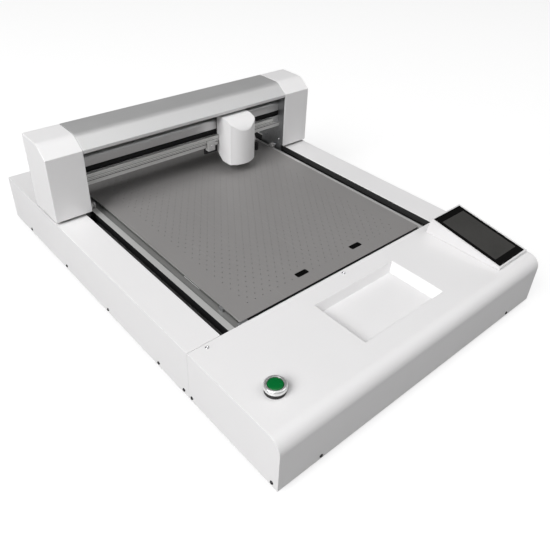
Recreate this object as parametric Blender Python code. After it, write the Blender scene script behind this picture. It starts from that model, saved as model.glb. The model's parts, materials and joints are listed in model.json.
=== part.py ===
"""Flatbed vinyl cutter with a moving gantry, built from separate pieces.

Metres, +Z up, front towards -Y. The origin is under the centre of the machine, on the plane
that its rubber feet stand on. "Inset" is a distance measured inwards from the left or the
right side of the body; "side" is -1 on the left and +1 on the right.
"""
import math

import bmesh
import bpy
from mathutils import Matrix, Vector

# ---- clearances and sheet ----
GAP = 0.0003              # between two pieces that touch
SEAM = 0.0004             # between the edges of two covers
SHEET = 0.0015            # steel sheet of the covers

# ---- body ----
BODY_W = 0.600
BODY_D = 0.820
BODY_H = 0.090            # underside of the body to the deck
FOOT_H = 0.012
FRONT_COVER_D = 0.191
FRONT_RADIUS = 0.022      # rounded front edge of the deck
SIDE_COVER_W = 0.057
REAR_COVER_D = 0.055
COVER_LIP = 0.012         # folded inner edges of the covers
PAN_T = 0.002
PAN_WALL = 0.020
FOOT_INSET = 0.048
FOOT_R = 0.011
FOOT_STEM_R = 0.003
VENT_COUNT = 6
VENT_W = 0.004
VENT_L = 0.050
VENT_PITCH = 0.012

# ---- storage tray pressed into the front cover ----
TRAY_SHIFT = -0.0025      # centre, from the middle of the machine
TRAY_FRONT = 0.053        # from the front face
TRAY_W = 0.183
TRAY_D = 0.102
TRAY_DEPTH = 0.0145
TRAY_DRAFT_X = 0.012      # how far the side walls lean in
TRAY_DRAFT_Y = 0.0065

# ---- start button ----
BUTTON_INSET = 0.050
BUTTON_FRONT = 0.067
BUTTON_HOLE_R = 0.0113
BEZEL_R = 0.0157
BEZEL_H = 0.0065
BEZEL_ROUND = 0.0028      # rounding of the bezel's rim
BUTTON_R = 0.0109
BUTTON_RISE = 0.0137      # top of the button above the deck
BUTTON_GAP = 0.0005       # between the button and its bezel
BUTTON_TRAVEL = 0.003
GASKET_R = 0.0147
GASKET_T = 0.0067
BARREL_R = 0.0110
BARREL_L = 0.030
BUTTON_STEM_R = 0.0040

# ---- touch screen on its wedge ----
SCREEN_INSET = 0.0493     # centre line, from the right side
SCREEN_FRONT = 0.026
SCREEN_W = 0.086
SCREEN_L = 0.146          # along the slope
SCREEN_TILT = math.radians(9.45)
SCREEN_FRONT_H = 0.0065
SCREEN_WALL = 0.0025
GLASS_MARGIN_X = 0.004
GLASS_MARGIN_Y = 0.003
GLASS_T = 0.002
PANEL_MARGIN = 0.007      # glass edge to the display panel bonded under it
PANEL_T = 0.0035
CABLE_HOLE = 0.030

# ---- bed ----
BED_W = 0.420
BED_SHIFT = 0.007         # bed centre, right of the middle of the machine
BED_END_GAP = 0.006
BED_T = 0.003
BED_DROP = 0.0024         # bed surface below the deck
BED_CORNER = 0.005
WINDOW_W = 0.025
WINDOW_D = 0.011
WINDOW_FRONT = 0.0365     # window centres, behind the seam of the front cover
WINDOW_XS = (-0.052, 0.076)
SENSOR_BAR_H = 0.008

# ---- vacuum under the bed ----
PLENUM_MARGIN_X = 0.018
PLENUM_MARGIN_Y = 0.048
PLENUM_H = 0.026
PLENUM_LEG = 0.018
BLOWER_R = 0.050
BLOWER_H = 0.036
BLOWER_WALL = 0.003
BLOWER_INLET_R = 0.028
ROTOR_R = 0.041
ROTOR_HUB_R = 0.014
ROTOR_BLADES = 11
BLADE_HALF = 0.0012

# ---- Y rails, belts and motors ----
LEFT_RAIL_INSET = 0.075
RIGHT_RAIL_INSET = 0.0715
RAIL_HEAD_W = 0.011
RAIL_HEAD_H = 0.030
RAIL_DROP = 0.006         # rail top below the deck
RAIL_LEDGE_W = 0.014
RAIL_LEDGE_DROP = 0.0045  # ledge below the rail top
RAIL_LEDGE_T = 0.0035
RAIL_WEB = 0.005
RAIL_FOOT_W = 0.024
RAIL_FOOT_T = 0.004
RAIL_GROOVE_D = 0.004
RAIL_GROOVE_H = 0.009
RAIL_GROOVE_DROP = 0.014
RAIL_REAR_GAP = 0.055     # rail ends this far in front of the rear face
Y_BELT_INSET = 0.036
Y_BELT_W = 0.010
BELT_T = 0.0014
Y_PULLEY_R = 0.012
Y_AXIS_RISE = 0.055       # pulley axes above the underside of the body
Y_DRIVE_REAR = 0.030      # drive pulley axis, in front of the rear face
Y_IDLER_FRONT = 0.024     # idler axis, behind the seam of the front cover
FLANGE_T = 0.0012
FLANGE_RISE = 0.0022
SHAFT_R = 0.0025
AXLE_R = 0.003
MOTOR_W = 0.042
MOTOR_L = 0.048

# ---- electronics ----
BOARD_SIZE = (0.130, 0.080)
BOARD_T = 0.0016
BOARD_RISE = 0.008
SUPPLY_SIZE = (0.150, 0.090, 0.038)
INLET_W = 0.048
INLET_H = 0.028
INLET_DEPTH = 0.027
INLET_FLANGE = 0.003
INLET_RECESS = 0.005      # face of the inlet, behind the rear face
INLET_SHIFT = 0.150
SOCKET_W = 0.024
SOCKET_H = 0.0165
SOCKET_DEPTH = 0.015
ROCKER_W = 0.009
ROCKER_H = 0.019
ROCKER_R = 0.0105
ROCKER_BOSS = 0.0095      # depth of the rocker behind the inlet's face
ROCKER_PROUD = 0.0035     # raised end of the rocker in front of the inlet's face
ROCKER_PIVOT = 0.002
PORT_W = 0.014
PORT_H = 0.013
PORT_DEPTH = 0.014
PORT_SHIFT = 0.095

# ---- gantry ----
GANTRY_REAR = 0.228       # front face of the caps, in front of the rear face
GANTRY_D = 0.0855
GANTRY_H = 0.1455         # deck to the top of the gantry
GANTRY_RISE = 0.0052      # caps hang this far above the deck
SHOULDER_DROP = 0.0202    # front corner below the top
SHOULDER_D = 0.027        # depth of the sloping front edge
SHOULDER_R = 0.025
CAP_W = 0.0675
CAP_WALL = 0.0025
COVER_SHEET = 0.0015
COVER_SKIRT = 0.0060      # beam cover below its front corner
COVER_BACK_H = 0.090
PLATE_T = 0.006
PLATE_SETBACK = 0.0007    # end plates behind the inner edges of the caps
LEG_FRONT = 0.012
LEG_D = 0.062
LEG_REACH = 0.048         # foot of the end plates below the deck
BEAM_SETBACK = 0.0215
BEAM_D = 0.0465
BEAM_LOW = 0.0505         # beam underside above the deck
BEAM_H = 0.0555
BEAM_R = 0.012
BEAM_WALL = 0.003
BELT_SLOT_LOW = 0.0722    # above the deck
BELT_SLOT_H = 0.0115
BELT_SLOT_D = 0.022
BEAM_LIP = 0.006
X_RAIL_H = 0.0120
X_RAIL_D = 0.0077
X_RAIL_HEAD = 0.004
X_RAIL_NECK = 0.0030      # neck narrower than the head by this much on each edge
X_RAIL_END = 0.0205       # rail ends this far from the right cap
X_RAIL_START = 0.0020     # and starts this far from the left one
X_PULLEY_R = 0.007
X_BELT_W = 0.008
X_PULLEY_INSET = 0.031
X_MOTOR_L = 0.034
GUIDE_ROLLER_R = 0.006
GUIDE_ROLLER_W = 0.0085
GUIDE_ROLLER_BACK = 0.028
BLOCK_L = 0.056
BLOCK_H = 0.026
CLAMP_ARM_D = 0.016
CLAMP_ARM_T = 0.004

# ---- carriage and tool ----
CARRIAGE_X = 0.096        # centre, right of the middle of the machine
HEAD_W = 0.064
HEAD_FRONT = 0.026        # front corners ahead of the gantry's front face
HEAD_BULGE = 0.010
HEAD_BACK = 0.020
HEAD_LOW = 0.0185         # above the deck
HEAD_TOP = 0.1135
HEAD_CURVE_R = 0.036
HEAD_CORNER = 0.003
HEAD_WALL = 0.002
HEAD_CHAMFER_D = 0.019
HEAD_CHAMFER_H = 0.017
HEAD_RUN_CLEAR = 0.0008   # notch in the cover, round the rail that runs through it
CARRIAGE_T = 0.0074
WING_HALF = 0.063
WING_H = 0.0160
WING_T = 0.004
WHEEL_OUT = 0.056
WHEEL_R = 0.0105
WHEEL_W = 0.007
PAD_W = 0.0165            # glide pad at the wing's left end
PAD_H = 0.0055            # its foot, below the beam
PAD_T = 0.0050            # its tongue, in front of the X rail
CAMERA_TAB = 0.014
SLIDE_W = 0.024
SLIDE_D = 0.0205
SLIDE_LOW = 0.038
SLIDE_H = 0.044
TOOL_AHEAD = 0.0125       # tool axis in front of the slide's back
HOLDER_R = 0.00575
HOLDER_COLLAR_R = 0.008
BLADE_R = 0.001
BLADE_CLEAR = 0.003       # blade tip above the bed
LIFT_TRAVEL = 0.006
LIFT_SIZE = (0.028, 0.0155, 0.0115)
CAMERA_R = 0.005
CAMERA_OUT = 0.068
CAMERA_L = 0.015

# ---- places that follow from the sizes ----
LEFT = -BODY_W / 2
RIGHT = BODY_W / 2
FRONT = -BODY_D / 2
REAR = BODY_D / 2
UNDERSIDE = FOOT_H
DECK = FOOT_H + BODY_H
PAN_TOP = UNDERSIDE + PAN_T
SEAM_Y = FRONT + FRONT_COVER_D
REAR_SEAM_Y = REAR - REAR_COVER_D
BED_TOP = DECK - BED_DROP
BED_FRONT = SEAM_Y + BED_END_GAP
BED_BACK = REAR_SEAM_Y - BED_END_GAP
RAIL_TOP = DECK - RAIL_DROP
RAIL_INSETS = {-1: LEFT_RAIL_INSET, 1: RIGHT_RAIL_INSET}
GANTRY_Y = REAR - GANTRY_REAR
GANTRY_TOP = DECK + GANTRY_H
PLATE_INSET = CAP_W - PLATE_SETBACK - PLATE_T
PLATE_INNER = PLATE_INSET + PLATE_T
BEAM_Y = GANTRY_Y + BEAM_SETBACK
BEAM_Z = DECK + BEAM_LOW
BEAM_HALF = BODY_W / 2 - PLATE_INNER - GAP
SLOT_Z = DECK + BELT_SLOT_LOW
X_RAIL_Z = SLOT_Z - GAP - X_RAIL_H
X_BELT_Y = BEAM_Y + BELT_SLOT_D / 2 - GAP
X_BELT_Z = SLOT_Z + (BELT_SLOT_H - X_BELT_W) / 2
Y_AXIS_Z = UNDERSIDE + Y_AXIS_RISE
CARRIAGE_BACK_Y = BEAM_Y - X_RAIL_D - GAP * 2
CARRIAGE_Y = CARRIAGE_BACK_Y - CARRIAGE_T
SLIDE_BACK_Y = CARRIAGE_Y - GAP
TOOL_Y = SLIDE_BACK_Y - TOOL_AHEAD
SIDES = {-1: "left", 1: "right"}


# ---- small modelling tools ----
def clear_scene():
    for item in list(bpy.data.objects):
        bpy.data.objects.remove(item, do_unlink=True)


def material(name, colour, roughness, metallic=0.0):
    found = bpy.data.materials.get(name)
    if found:
        return found
    made = bpy.data.materials.new(name)
    made.use_nodes = True
    shader = made.node_tree.nodes["Principled BSDF"]
    shader.inputs["Base Color"].default_value = (*colour, 1.0)
    shader.inputs["Roughness"].default_value = roughness
    shader.inputs["Metallic"].default_value = metallic
    made.diffuse_color = (*colour, 1.0)
    return made


def coat():
    return material("white_powder_coat", (0.80, 0.80, 0.79), 0.42)


def white_plastic():
    return material("white_plastic", (0.82, 0.82, 0.81), 0.35)


def aluminium():
    return material("aluminium", (0.60, 0.60, 0.60), 0.38, 1.0)


def bed_grey():
    return material("anodised_grey", (0.25, 0.25, 0.245), 0.5, 0.6)


def black_anodised():
    return material("black_anodised", (0.02, 0.02, 0.022), 0.45, 0.6)


def steel():
    return material("steel", (0.55, 0.55, 0.56), 0.3, 1.0)


def zinc():
    return material("zinc_sheet", (0.50, 0.51, 0.52), 0.45, 1.0)


def chrome():
    return material("chrome", (0.80, 0.80, 0.80), 0.12, 1.0)


def rubber():
    return material("black_rubber", (0.015, 0.015, 0.015), 0.8)


def black_plastic():
    return material("black_plastic", (0.02, 0.02, 0.02), 0.5)


def green_plastic():
    return material("green_plastic", (0.0, 0.14, 0.04), 0.3)


def glass():
    return material("black_glass", (0.006, 0.006, 0.007), 0.08)


def board_green():
    return material("circuit_board", (0.01, 0.10, 0.04), 0.5)


def finish(name, mesh, look, origin=(0.0, 0.0, 0.0)):
    """Turn a bmesh drawn in world coordinates into an object with its origin at a point."""
    origin = Vector(origin)
    bmesh.ops.recalc_face_normals(mesh, faces=mesh.faces)
    bmesh.ops.translate(mesh, verts=mesh.verts, vec=-origin)
    data = bpy.data.meshes.new(name)
    mesh.to_mesh(data)
    mesh.free()
    made = bpy.data.objects.new(name, data)
    made.location = origin
    bpy.context.scene.collection.objects.link(made)
    if look:
        data.materials.append(look)
    data.shade_smooth()
    data.set_sharp_from_angle(angle=math.radians(32))
    return made


def at(axis, along, across):
    """A point from its place along an axis and its two coordinates across it."""
    if axis == "X":
        return Vector((along, across[0], across[1]))
    if axis == "Y":
        return Vector((across[0], along, across[1]))
    return Vector((across[0], across[1], along))


def add_prism(mesh, outline, axis, low, high):
    floor = [mesh.verts.new(at(axis, low, point)) for point in outline]
    roof = [mesh.verts.new(at(axis, high, point)) for point in outline]
    mesh.faces.new(floor)
    mesh.faces.new(list(reversed(roof)))
    count = len(outline)
    for i in range(count):
        j = (i + 1) % count
        mesh.faces.new((floor[i], floor[j], roof[j], roof[i]))


def prism(name, outline, axis, low, high, look, origin=(0.0, 0.0, 0.0)):
    mesh = bmesh.new()
    add_prism(mesh, outline, axis, low, high)
    return finish(name, mesh, look, origin)


def rectangle(low, high):
    return [(low[0], low[1]), (high[0], low[1]), (high[0], high[1]), (low[0], high[1])]


def box(name, xs, ys, zs, look, origin=(0.0, 0.0, 0.0)):
    outline = rectangle((min(xs), ys[0]), (max(xs), ys[1]))
    return prism(name, outline, "Z", zs[0], zs[1], look, origin)


def loop_prism(name, outer, inner, axis, low, high, look, origin=(0.0, 0.0, 0.0)):
    """A closed band: the space between two outlines with equal point counts."""
    mesh = bmesh.new()
    rings = []
    for outline, along in ((outer, low), (outer, high), (inner, high), (inner, low)):
        rings.append([mesh.verts.new(at(axis, along, point)) for point in outline])
    count = len(outer)
    for k in range(4):
        ring, following = rings[k], rings[(k + 1) % 4]
        for i in range(count):
            j = (i + 1) % count
            mesh.faces.new((ring[i], ring[j], following[j], following[i]))
    return finish(name, mesh, look, origin)


def turned(name, profile, centre, axis, look, segments=28, origin=None):
    """Turn a closed profile of (radius, place along the axis) about an axis through centre."""
    mesh = bmesh.new()
    rings = []
    for radius, along in profile:
        ring = []
        for i in range(1 if radius == 0 else segments):
            angle = 2 * math.pi * i / segments
            across = (centre[0] + radius * math.cos(angle), centre[1] + radius * math.sin(angle))
            ring.append(mesh.verts.new(at(axis, along, across)))
        rings.append(ring)
    for k, ring in enumerate(rings):
        following = rings[(k + 1) % len(rings)]
        if len(ring) == 1 and len(following) == 1:
            continue
        for i in range(segments):
            j = (i + 1) % segments
            corners = [ring[i % len(ring)], ring[j % len(ring)]]
            corners += [following[j % len(following)], following[i % len(following)]]
            unique = list(dict.fromkeys(corners))
            mesh.faces.new(unique)
    middle = sum(along for _, along in profile) / len(profile)
    return finish(name, mesh, look, at(axis, middle, centre) if origin is None else origin)


def cylinder(name, radius, ends, centre, axis, look, segments=24, origin=None):
    profile = [(0.0, ends[0]), (radius, ends[0]), (radius, ends[1]), (0.0, ends[1])]
    return turned(name, profile, centre, axis, look, segments, origin)


def combine(target, tool, operation):
    change = target.modifiers.new(operation.lower(), "BOOLEAN")
    change.operation = operation
    change.solver = "EXACT"
    change.object = tool
    tool.hide_render = True
    tool.display_type = "WIRE"
    return target


def cut(target, tool):
    return combine(target, tool, "DIFFERENCE")


def weld(target, tool):
    return combine(target, tool, "UNION")


def keep_common(target, tool):
    return combine(target, tool, "INTERSECT")


def arc(centre, radius, start, end, steps):
    """Points on an arc, angles in degrees from the first axis."""
    points = []
    for i in range(steps + 1):
        angle = math.radians(start + (end - start) * i / steps)
        points.append((centre[0] + radius * math.cos(angle), centre[1] + radius * math.sin(angle)))
    return points


def rounded_rectangle(low, high, radius, steps=4):
    points = arc((high[0] - radius, high[1] - radius), radius, 0, 90, steps)
    points += arc((low[0] + radius, high[1] - radius), radius, 90, 180, steps)
    points += arc((low[0] + radius, low[1] + radius), radius, 180, 270, steps)
    points += arc((high[0] - radius, low[1] + radius), radius, 270, 360, steps)
    return points


def fillet(before, corner, after, radius, steps):
    """Points of a round that replaces a corner between two straight edges."""
    corner = Vector(corner)
    to_before = (Vector(before) - corner).normalized()
    to_after = (Vector(after) - corner).normalized()
    half = to_before.angle(to_after) / 2
    centre = corner + (to_before + to_after).normalized() * radius / math.sin(half)
    start = corner + to_before * radius / math.tan(half) - centre
    turn = (math.pi - 2 * half) * (1 if to_before.cross(to_after) < 0 else -1)
    points = []
    for i in range(steps + 1):
        angle = turn * i / steps
        spoke = Matrix.Rotation(angle, 2) @ start
        points.append((centre.x + spoke.x, centre.y + spoke.y))
    return points


def offset_path(path, distance):
    """Move an open path sideways, to the right of its direction, with mitred corners."""
    normals = []
    for a, b in zip(path, path[1:]):
        run = (Vector(b) - Vector(a)).normalized()
        normals.append(Vector((run.y, -run.x)))
    moved = []
    for i, point in enumerate(path):
        first = normals[max(i - 1, 0)]
        second = normals[min(i, len(normals) - 1)]
        mitre = (first + second) / (1 + first.dot(second))
        moved.append(tuple(Vector(point) + mitre * distance))
    return moved


def inset_x(side, inset):
    return side * (BODY_W / 2 - inset)


def span(side, first, second):
    return sorted((inset_x(side, first), inset_x(side, second)))


def frame(name, place):
    made = bpy.data.objects.new(name, None)
    made.location = place
    bpy.context.scene.collection.objects.link(made)
    return made


def attach(parent, *children):
    """Parent objects to an empty without moving them. Nothing here is rotated."""
    for child in children:
        child.location = child.location - parent.location
        child.parent = parent


# ---- body: pan, covers, feet ----
def base_pan():
    half_w = BODY_W / 2 - SHEET - GAP
    half_d = BODY_D / 2 - SHEET - GAP
    pan = box("base_pan", (-half_w, half_w), (-half_d, half_d),
              (UNDERSIDE, UNDERSIDE + PAN_WALL), zinc())
    inner = box("pan_hollow", (-half_w + PAN_T, half_w - PAN_T), (-half_d + PAN_T, half_d - PAN_T),
                (PAN_TOP, DECK), None)
    cut(pan, inner)
    for x_side in (-1, 1):
        for y_side in (-1, 1):
            centre = foot_place(x_side, y_side)
            cut(pan, cylinder("foot_hole", FOOT_STEM_R + GAP, (0.0, DECK), centre, "Z", None, 16))
    for i in range(VENT_COUNT):
        x = -BLOWER_R * 2 - i * VENT_PITCH
        cut(pan, box("vent", (x, x + VENT_W), (-VENT_L / 2, VENT_L / 2), (0.0, DECK), None))
    return pan


def foot_place(x_side, y_side):
    return x_side * (BODY_W / 2 - FOOT_INSET), y_side * (BODY_D / 2 - FOOT_INSET)


def rubber_foot(name, centre):
    top = UNDERSIDE - GAP
    head = PAN_TOP + 0.004
    profile = [(0.0, 0.0), (FOOT_R - 0.001, 0.0), (FOOT_R, 0.002), (FOOT_R - 0.001, top)]
    profile += [(FOOT_STEM_R, top), (FOOT_STEM_R, head), (0.0, head)]
    return turned(name, profile, centre, "Z", rubber(), 24)


def feet():
    for y_side, end in ((-1, "front"), (1, "rear")):
        for x_side, hand in SIDES.items():
            rubber_foot(f"{end}_{hand}_foot", foot_place(x_side, y_side))


def front_path():
    """Side outline of the front cover, from its rear edge over the top and down the front."""
    corner = (FRONT, DECK)
    start = (SEAM_Y, DECK)
    end = (FRONT, UNDERSIDE)
    return [start, *fillet(start, corner, end, FRONT_RADIUS, 8), end]


def frustum(name, top_low, top_high, top_z, lean, bottom_z):
    """A pocket whose walls lean in towards its floor."""
    mesh = bmesh.new()
    low = (top_low[0] + lean[0], top_low[1] + lean[1])
    high = (top_high[0] - lean[0], top_high[1] - lean[1])
    roof = [mesh.verts.new((x, y, top_z)) for x, y in rectangle(top_low, top_high)]
    floor = [mesh.verts.new((x, y, bottom_z)) for x, y in rectangle(low, high)]
    mesh.faces.new(roof)
    mesh.faces.new(floor)
    for i in range(4):
        j = (i + 1) % 4
        mesh.faces.new((floor[i], floor[j], roof[j], roof[i]))
    return finish(name, mesh, None)


def tray_pocket(name, wall, rise):
    """The tray's inner shape, or its outer one when a wall is given; it rises above the deck."""
    slope_x = TRAY_DRAFT_X / TRAY_DEPTH
    slope_y = TRAY_DRAFT_Y / TRAY_DEPTH
    grow_x = wall + slope_x * rise
    grow_y = wall + slope_y * rise
    low = (TRAY_SHIFT - TRAY_W / 2 - grow_x, FRONT + TRAY_FRONT - grow_y)
    high = (TRAY_SHIFT + TRAY_W / 2 + grow_x, FRONT + TRAY_FRONT + TRAY_D + grow_y)
    depth = TRAY_DEPTH + wall + rise
    return frustum(name, low, high, DECK + rise, (slope_x * depth, slope_y * depth),
                   DECK - TRAY_DEPTH - wall)


def button_place():
    return LEFT + BUTTON_INSET, FRONT + BUTTON_FRONT


def front_cover():
    outer = front_path()
    rear_foot = (SEAM_Y, UNDERSIDE)
    cover = prism("front_cover", [*outer, rear_foot], "X", LEFT, RIGHT, coat())
    inner = offset_path(outer, -SHEET)
    below = UNDERSIDE - SHEET
    inner[0] = (SEAM_Y - SHEET, inner[0][1])
    inner[-1] = (inner[-1][0], below)
    hollow = prism("front_hollow", [*inner, (SEAM_Y - SHEET, below)], "X",
                   LEFT + SHEET, RIGHT - SHEET, None)
    cut(hollow, tray_pocket("tray_outside", SHEET, 0.002))
    cut(cover, hollow)
    cut(cover, tray_pocket("tray_inside", 0.0, 0.001))
    rear_open = box("front_rear_opening", (LEFT + SHEET, RIGHT - SHEET),
                    (SEAM_Y - SHEET * 2, SEAM_Y + SHEET), (below, DECK - COVER_LIP), None)
    cut(cover, rear_open)
    cut(cover, cylinder("button_hole", BUTTON_HOLE_R, (DECK - 0.01, DECK + 0.01),
                        button_place(), "Z", None, 24))
    x = RIGHT - SCREEN_INSET
    y = FRONT + SCREEN_FRONT + SCREEN_L / 2
    half = CABLE_HOLE / 2
    cut(cover, box("cable_hole", (x - half, x + half), (y - half, y + half),
                   (DECK - 0.01, DECK + 0.01), None))
    return cover


def side_cover(side):
    start = SEAM_Y + SEAM
    cover = box(f"{SIDES[side]}_side_cover", span(side, 0.0, SIDE_COVER_W), (start, REAR),
                (UNDERSIDE, DECK), coat())
    hollow = box("side_hollow", span(side, SHEET, SIDE_COVER_W - SHEET),
                 (start - SHEET, REAR - SHEET), (UNDERSIDE - SHEET, DECK - SHEET), None)
    cut(cover, hollow)
    opening = box("side_opening", span(side, SIDE_COVER_W - SHEET * 2, SIDE_COVER_W + SHEET),
                  (start - SHEET, REAR - SHEET), (UNDERSIDE - SHEET, DECK - COVER_LIP), None)
    return cut(cover, opening)


def rear_cover():
    half = BODY_W / 2 - SIDE_COVER_W - SEAM
    cover = box("rear_cover", (-half, half), (REAR_SEAM_Y, REAR), (UNDERSIDE, DECK), coat())
    hollow = box("rear_hollow", (-half - SHEET, half + SHEET),
                 (REAR_SEAM_Y + SHEET, REAR - SHEET), (UNDERSIDE - SHEET, DECK - SHEET), None)
    cut(cover, hollow)
    opening = box("rear_opening", (-half - SHEET, half + SHEET),
                  (REAR_SEAM_Y - SHEET, REAR_SEAM_Y + SHEET * 2),
                  (UNDERSIDE - SHEET, DECK - COVER_LIP), None)
    cut(cover, opening)
    for centre, width, height in ((inlet_place(), INLET_W, INLET_H), (port_place(), PORT_W, PORT_H)):
        half_w = width / 2 + GAP
        half_h = height / 2 + GAP
        cut(cover, box("rear_cutout", (centre[0] - half_w, centre[0] + half_w),
                       (REAR - SHEET * 2, REAR + SHEET),
                       (centre[1] - half_h, centre[1] + half_h), None))
    return cover


# ---- bed and vacuum ----
def bed_plate():
    low = (BED_SHIFT - BED_W / 2, BED_FRONT)
    high = (BED_SHIFT + BED_W / 2, BED_BACK)
    outline = rounded_rectangle(low, high, BED_CORNER)
    plate = prism("bed_plate", outline, "Z", BED_TOP - BED_T, BED_TOP, bed_grey())
    for x in WINDOW_XS:
        y = SEAM_Y + WINDOW_FRONT
        cut(plate, box("window", (x - WINDOW_W / 2, x + WINDOW_W / 2),
                       (y - WINDOW_D / 2, y + WINDOW_D / 2), (BED_TOP - 0.01, DECK), None))
    return plate


def sensor_bar():
    """Bar under the bed whose two dark windows show through the plate."""
    y = SEAM_Y + WINDOW_FRONT
    top = BED_TOP - BED_T - GAP
    reach = WINDOW_W
    bar = box("sensor_bar", (WINDOW_XS[0] - reach, WINDOW_XS[1] + reach),
              (y - WINDOW_D / 2, y + WINDOW_D / 2), (top - SENSOR_BAR_H, top), black_plastic())
    half_w = WINDOW_W / 2 - GAP
    half_d = WINDOW_D / 2 - GAP
    for x in WINDOW_XS:
        weld(bar, box("window_insert", (x - half_w, x + half_w), (y - half_d, y + half_d),
                      (top - SENSOR_BAR_H / 2, BED_TOP - GAP), None))
    return bar


def vacuum_plenum():
    low_x = BED_SHIFT - BED_W / 2 + PLENUM_MARGIN_X
    high_x = BED_SHIFT + BED_W / 2 - PLENUM_MARGIN_X
    low_y = BED_FRONT + PLENUM_MARGIN_Y
    high_y = BED_BACK - PLENUM_MARGIN_Y
    top = BED_TOP - BED_T - GAP
    floor = top - PLENUM_H
    tray = box("vacuum_plenum", (low_x, high_x), (low_y, high_y), (floor, top), zinc())
    cut(tray, box("plenum_hollow", (low_x + SHEET, high_x - SHEET),
                  (low_y + SHEET, high_y - SHEET), (floor + SHEET, DECK), None))
    cut(tray, cylinder("plenum_hole", BLOWER_INLET_R, (floor - 0.01, floor + 0.01),
                       blower_place(), "Z", None, 28))
    for x in (low_x + PLENUM_LEG, high_x - PLENUM_LEG * 2):
        for y in (low_y + PLENUM_LEG, high_y - PLENUM_LEG * 2):
            weld(tray, box("plenum_leg", (x, x + PLENUM_LEG), (y, y + PLENUM_LEG),
                           (PAN_TOP + GAP, floor + SHEET / 2), None))
    return tray


def blower_place():
    return BED_SHIFT, (BED_FRONT + BED_BACK) / 2


def vacuum_blower():
    low = PAN_TOP + GAP
    high = low + BLOWER_H
    inner = BLOWER_R - BLOWER_WALL
    floor = low + BLOWER_WALL
    collar = BED_TOP - BED_T - GAP - PLENUM_H - GAP
    boss = ROTOR_HUB_R - 0.003
    profile = [(0.0, low), (BLOWER_R, low), (BLOWER_R, high), (BLOWER_INLET_R, high)]
    profile += [(BLOWER_INLET_R, collar), (BLOWER_INLET_R - BLOWER_WALL, collar)]
    profile += [(BLOWER_INLET_R - BLOWER_WALL, high - BLOWER_WALL), (inner, high - BLOWER_WALL)]
    profile += [(inner, floor), (boss, floor), (boss, floor + 0.004), (0.0, floor + 0.004)]
    housing = turned("vacuum_blower", profile, blower_place(), "Z", black_plastic(), 32)
    x, y = blower_place()
    outlet = box("blower_outlet", (x - BLOWER_R * 1.2, x - BLOWER_R * 0.8),
                 (y - ROTOR_HUB_R, y + ROTOR_HUB_R), (floor + 0.002, high - BLOWER_WALL * 2), None)
    return cut(housing, outlet)


def blower_rotor():
    x, y = blower_place()
    outline = []
    for i in range(ROTOR_BLADES):
        angle = 2 * math.pi * i / ROTOR_BLADES
        for radius, turn in ((ROTOR_HUB_R, -1), (ROTOR_R, -1), (ROTOR_R, 1), (ROTOR_HUB_R, 1)):
            swing = angle + turn * BLADE_HALF / radius
            outline.append((x + radius * math.cos(swing), y + radius * math.sin(swing)))
    low = PAN_TOP + GAP + BLOWER_WALL + 0.005
    high = PAN_TOP + BLOWER_H - BLOWER_WALL - 0.002
    return prism("blower_rotor", outline, "Z", low, high, black_plastic(),
                 (x, y, (low + high) / 2))


# ---- Y drive ----
def y_rail(side):
    start = RAIL_INSETS[side]
    head = start + RAIL_HEAD_W
    ledge = RAIL_TOP - RAIL_LEDGE_DROP
    base = PAN_TOP + GAP
    web = start + (RAIL_HEAD_W - RAIL_WEB) / 2
    bottom = RAIL_TOP - RAIL_HEAD_H
    foot = base + RAIL_FOOT_T
    foot_start = start + RAIL_HEAD_W / 2 - RAIL_FOOT_W / 2
    groove_top = RAIL_TOP - RAIL_GROOVE_DROP
    groove_bottom = groove_top - RAIL_GROOVE_H
    outline = [(start, RAIL_TOP), (head, RAIL_TOP), (head, ledge), (head + RAIL_LEDGE_W, ledge)]
    outline += [(head + RAIL_LEDGE_W, ledge - RAIL_LEDGE_T), (head, ledge - RAIL_LEDGE_T)]
    outline += [(head, bottom), (web + RAIL_WEB, bottom), (web + RAIL_WEB, foot)]
    outline += [(foot_start + RAIL_FOOT_W, foot), (foot_start + RAIL_FOOT_W, base)]
    outline += [(foot_start, base), (foot_start, foot), (web, foot), (web, bottom)]
    outline += [(start, bottom), (start, groove_bottom), (start + RAIL_GROOVE_D, groove_bottom)]
    outline += [(start + RAIL_GROOVE_D, groove_top), (start, groove_top)]
    points = [(inset_x(side, inset), z) for inset, z in outline]
    look = aluminium() if side < 0 else black_anodised()
    return prism(f"{SIDES[side]}_y_rail", points, "Y", BED_FRONT - BED_END_GAP + GAP,
                 REAR - RAIL_REAR_GAP - GAP, look)


def stadium(first, second, radius, steps=8):
    """Outline round two equal circles whose centres lie along the first axis."""
    points = arc(second, radius, -90, 90, steps)
    points += arc(first, radius, 90, 270, steps)
    return points


def belt(name, first, second, radius, axis, low, high):
    inner = stadium(first, second, radius + GAP)
    outer = stadium(first, second, radius + GAP + BELT_T)
    return loop_prism(name, outer, inner, axis, low, high, rubber())


def pulley_profile(radius, low, high, bore):
    """Flanged pulley between two places along its axis, for a belt that fits between them."""
    rim = radius + FLANGE_RISE
    profile = [(bore, low), (rim, low), (rim, low + FLANGE_T), (radius, low + FLANGE_T)]
    profile += [(radius, high - FLANGE_T), (rim, high - FLANGE_T), (rim, high), (bore, high)]
    return profile


def y_belt(side):
    low, high = span(side, Y_BELT_INSET, Y_BELT_INSET + Y_BELT_W)
    front = (SEAM_Y + Y_IDLER_FRONT, Y_AXIS_Z)
    rear = (REAR - Y_DRIVE_REAR, Y_AXIS_Z)
    return belt(f"{SIDES[side]}_y_belt", front, rear, Y_PULLEY_R, "X", low, high)


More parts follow.
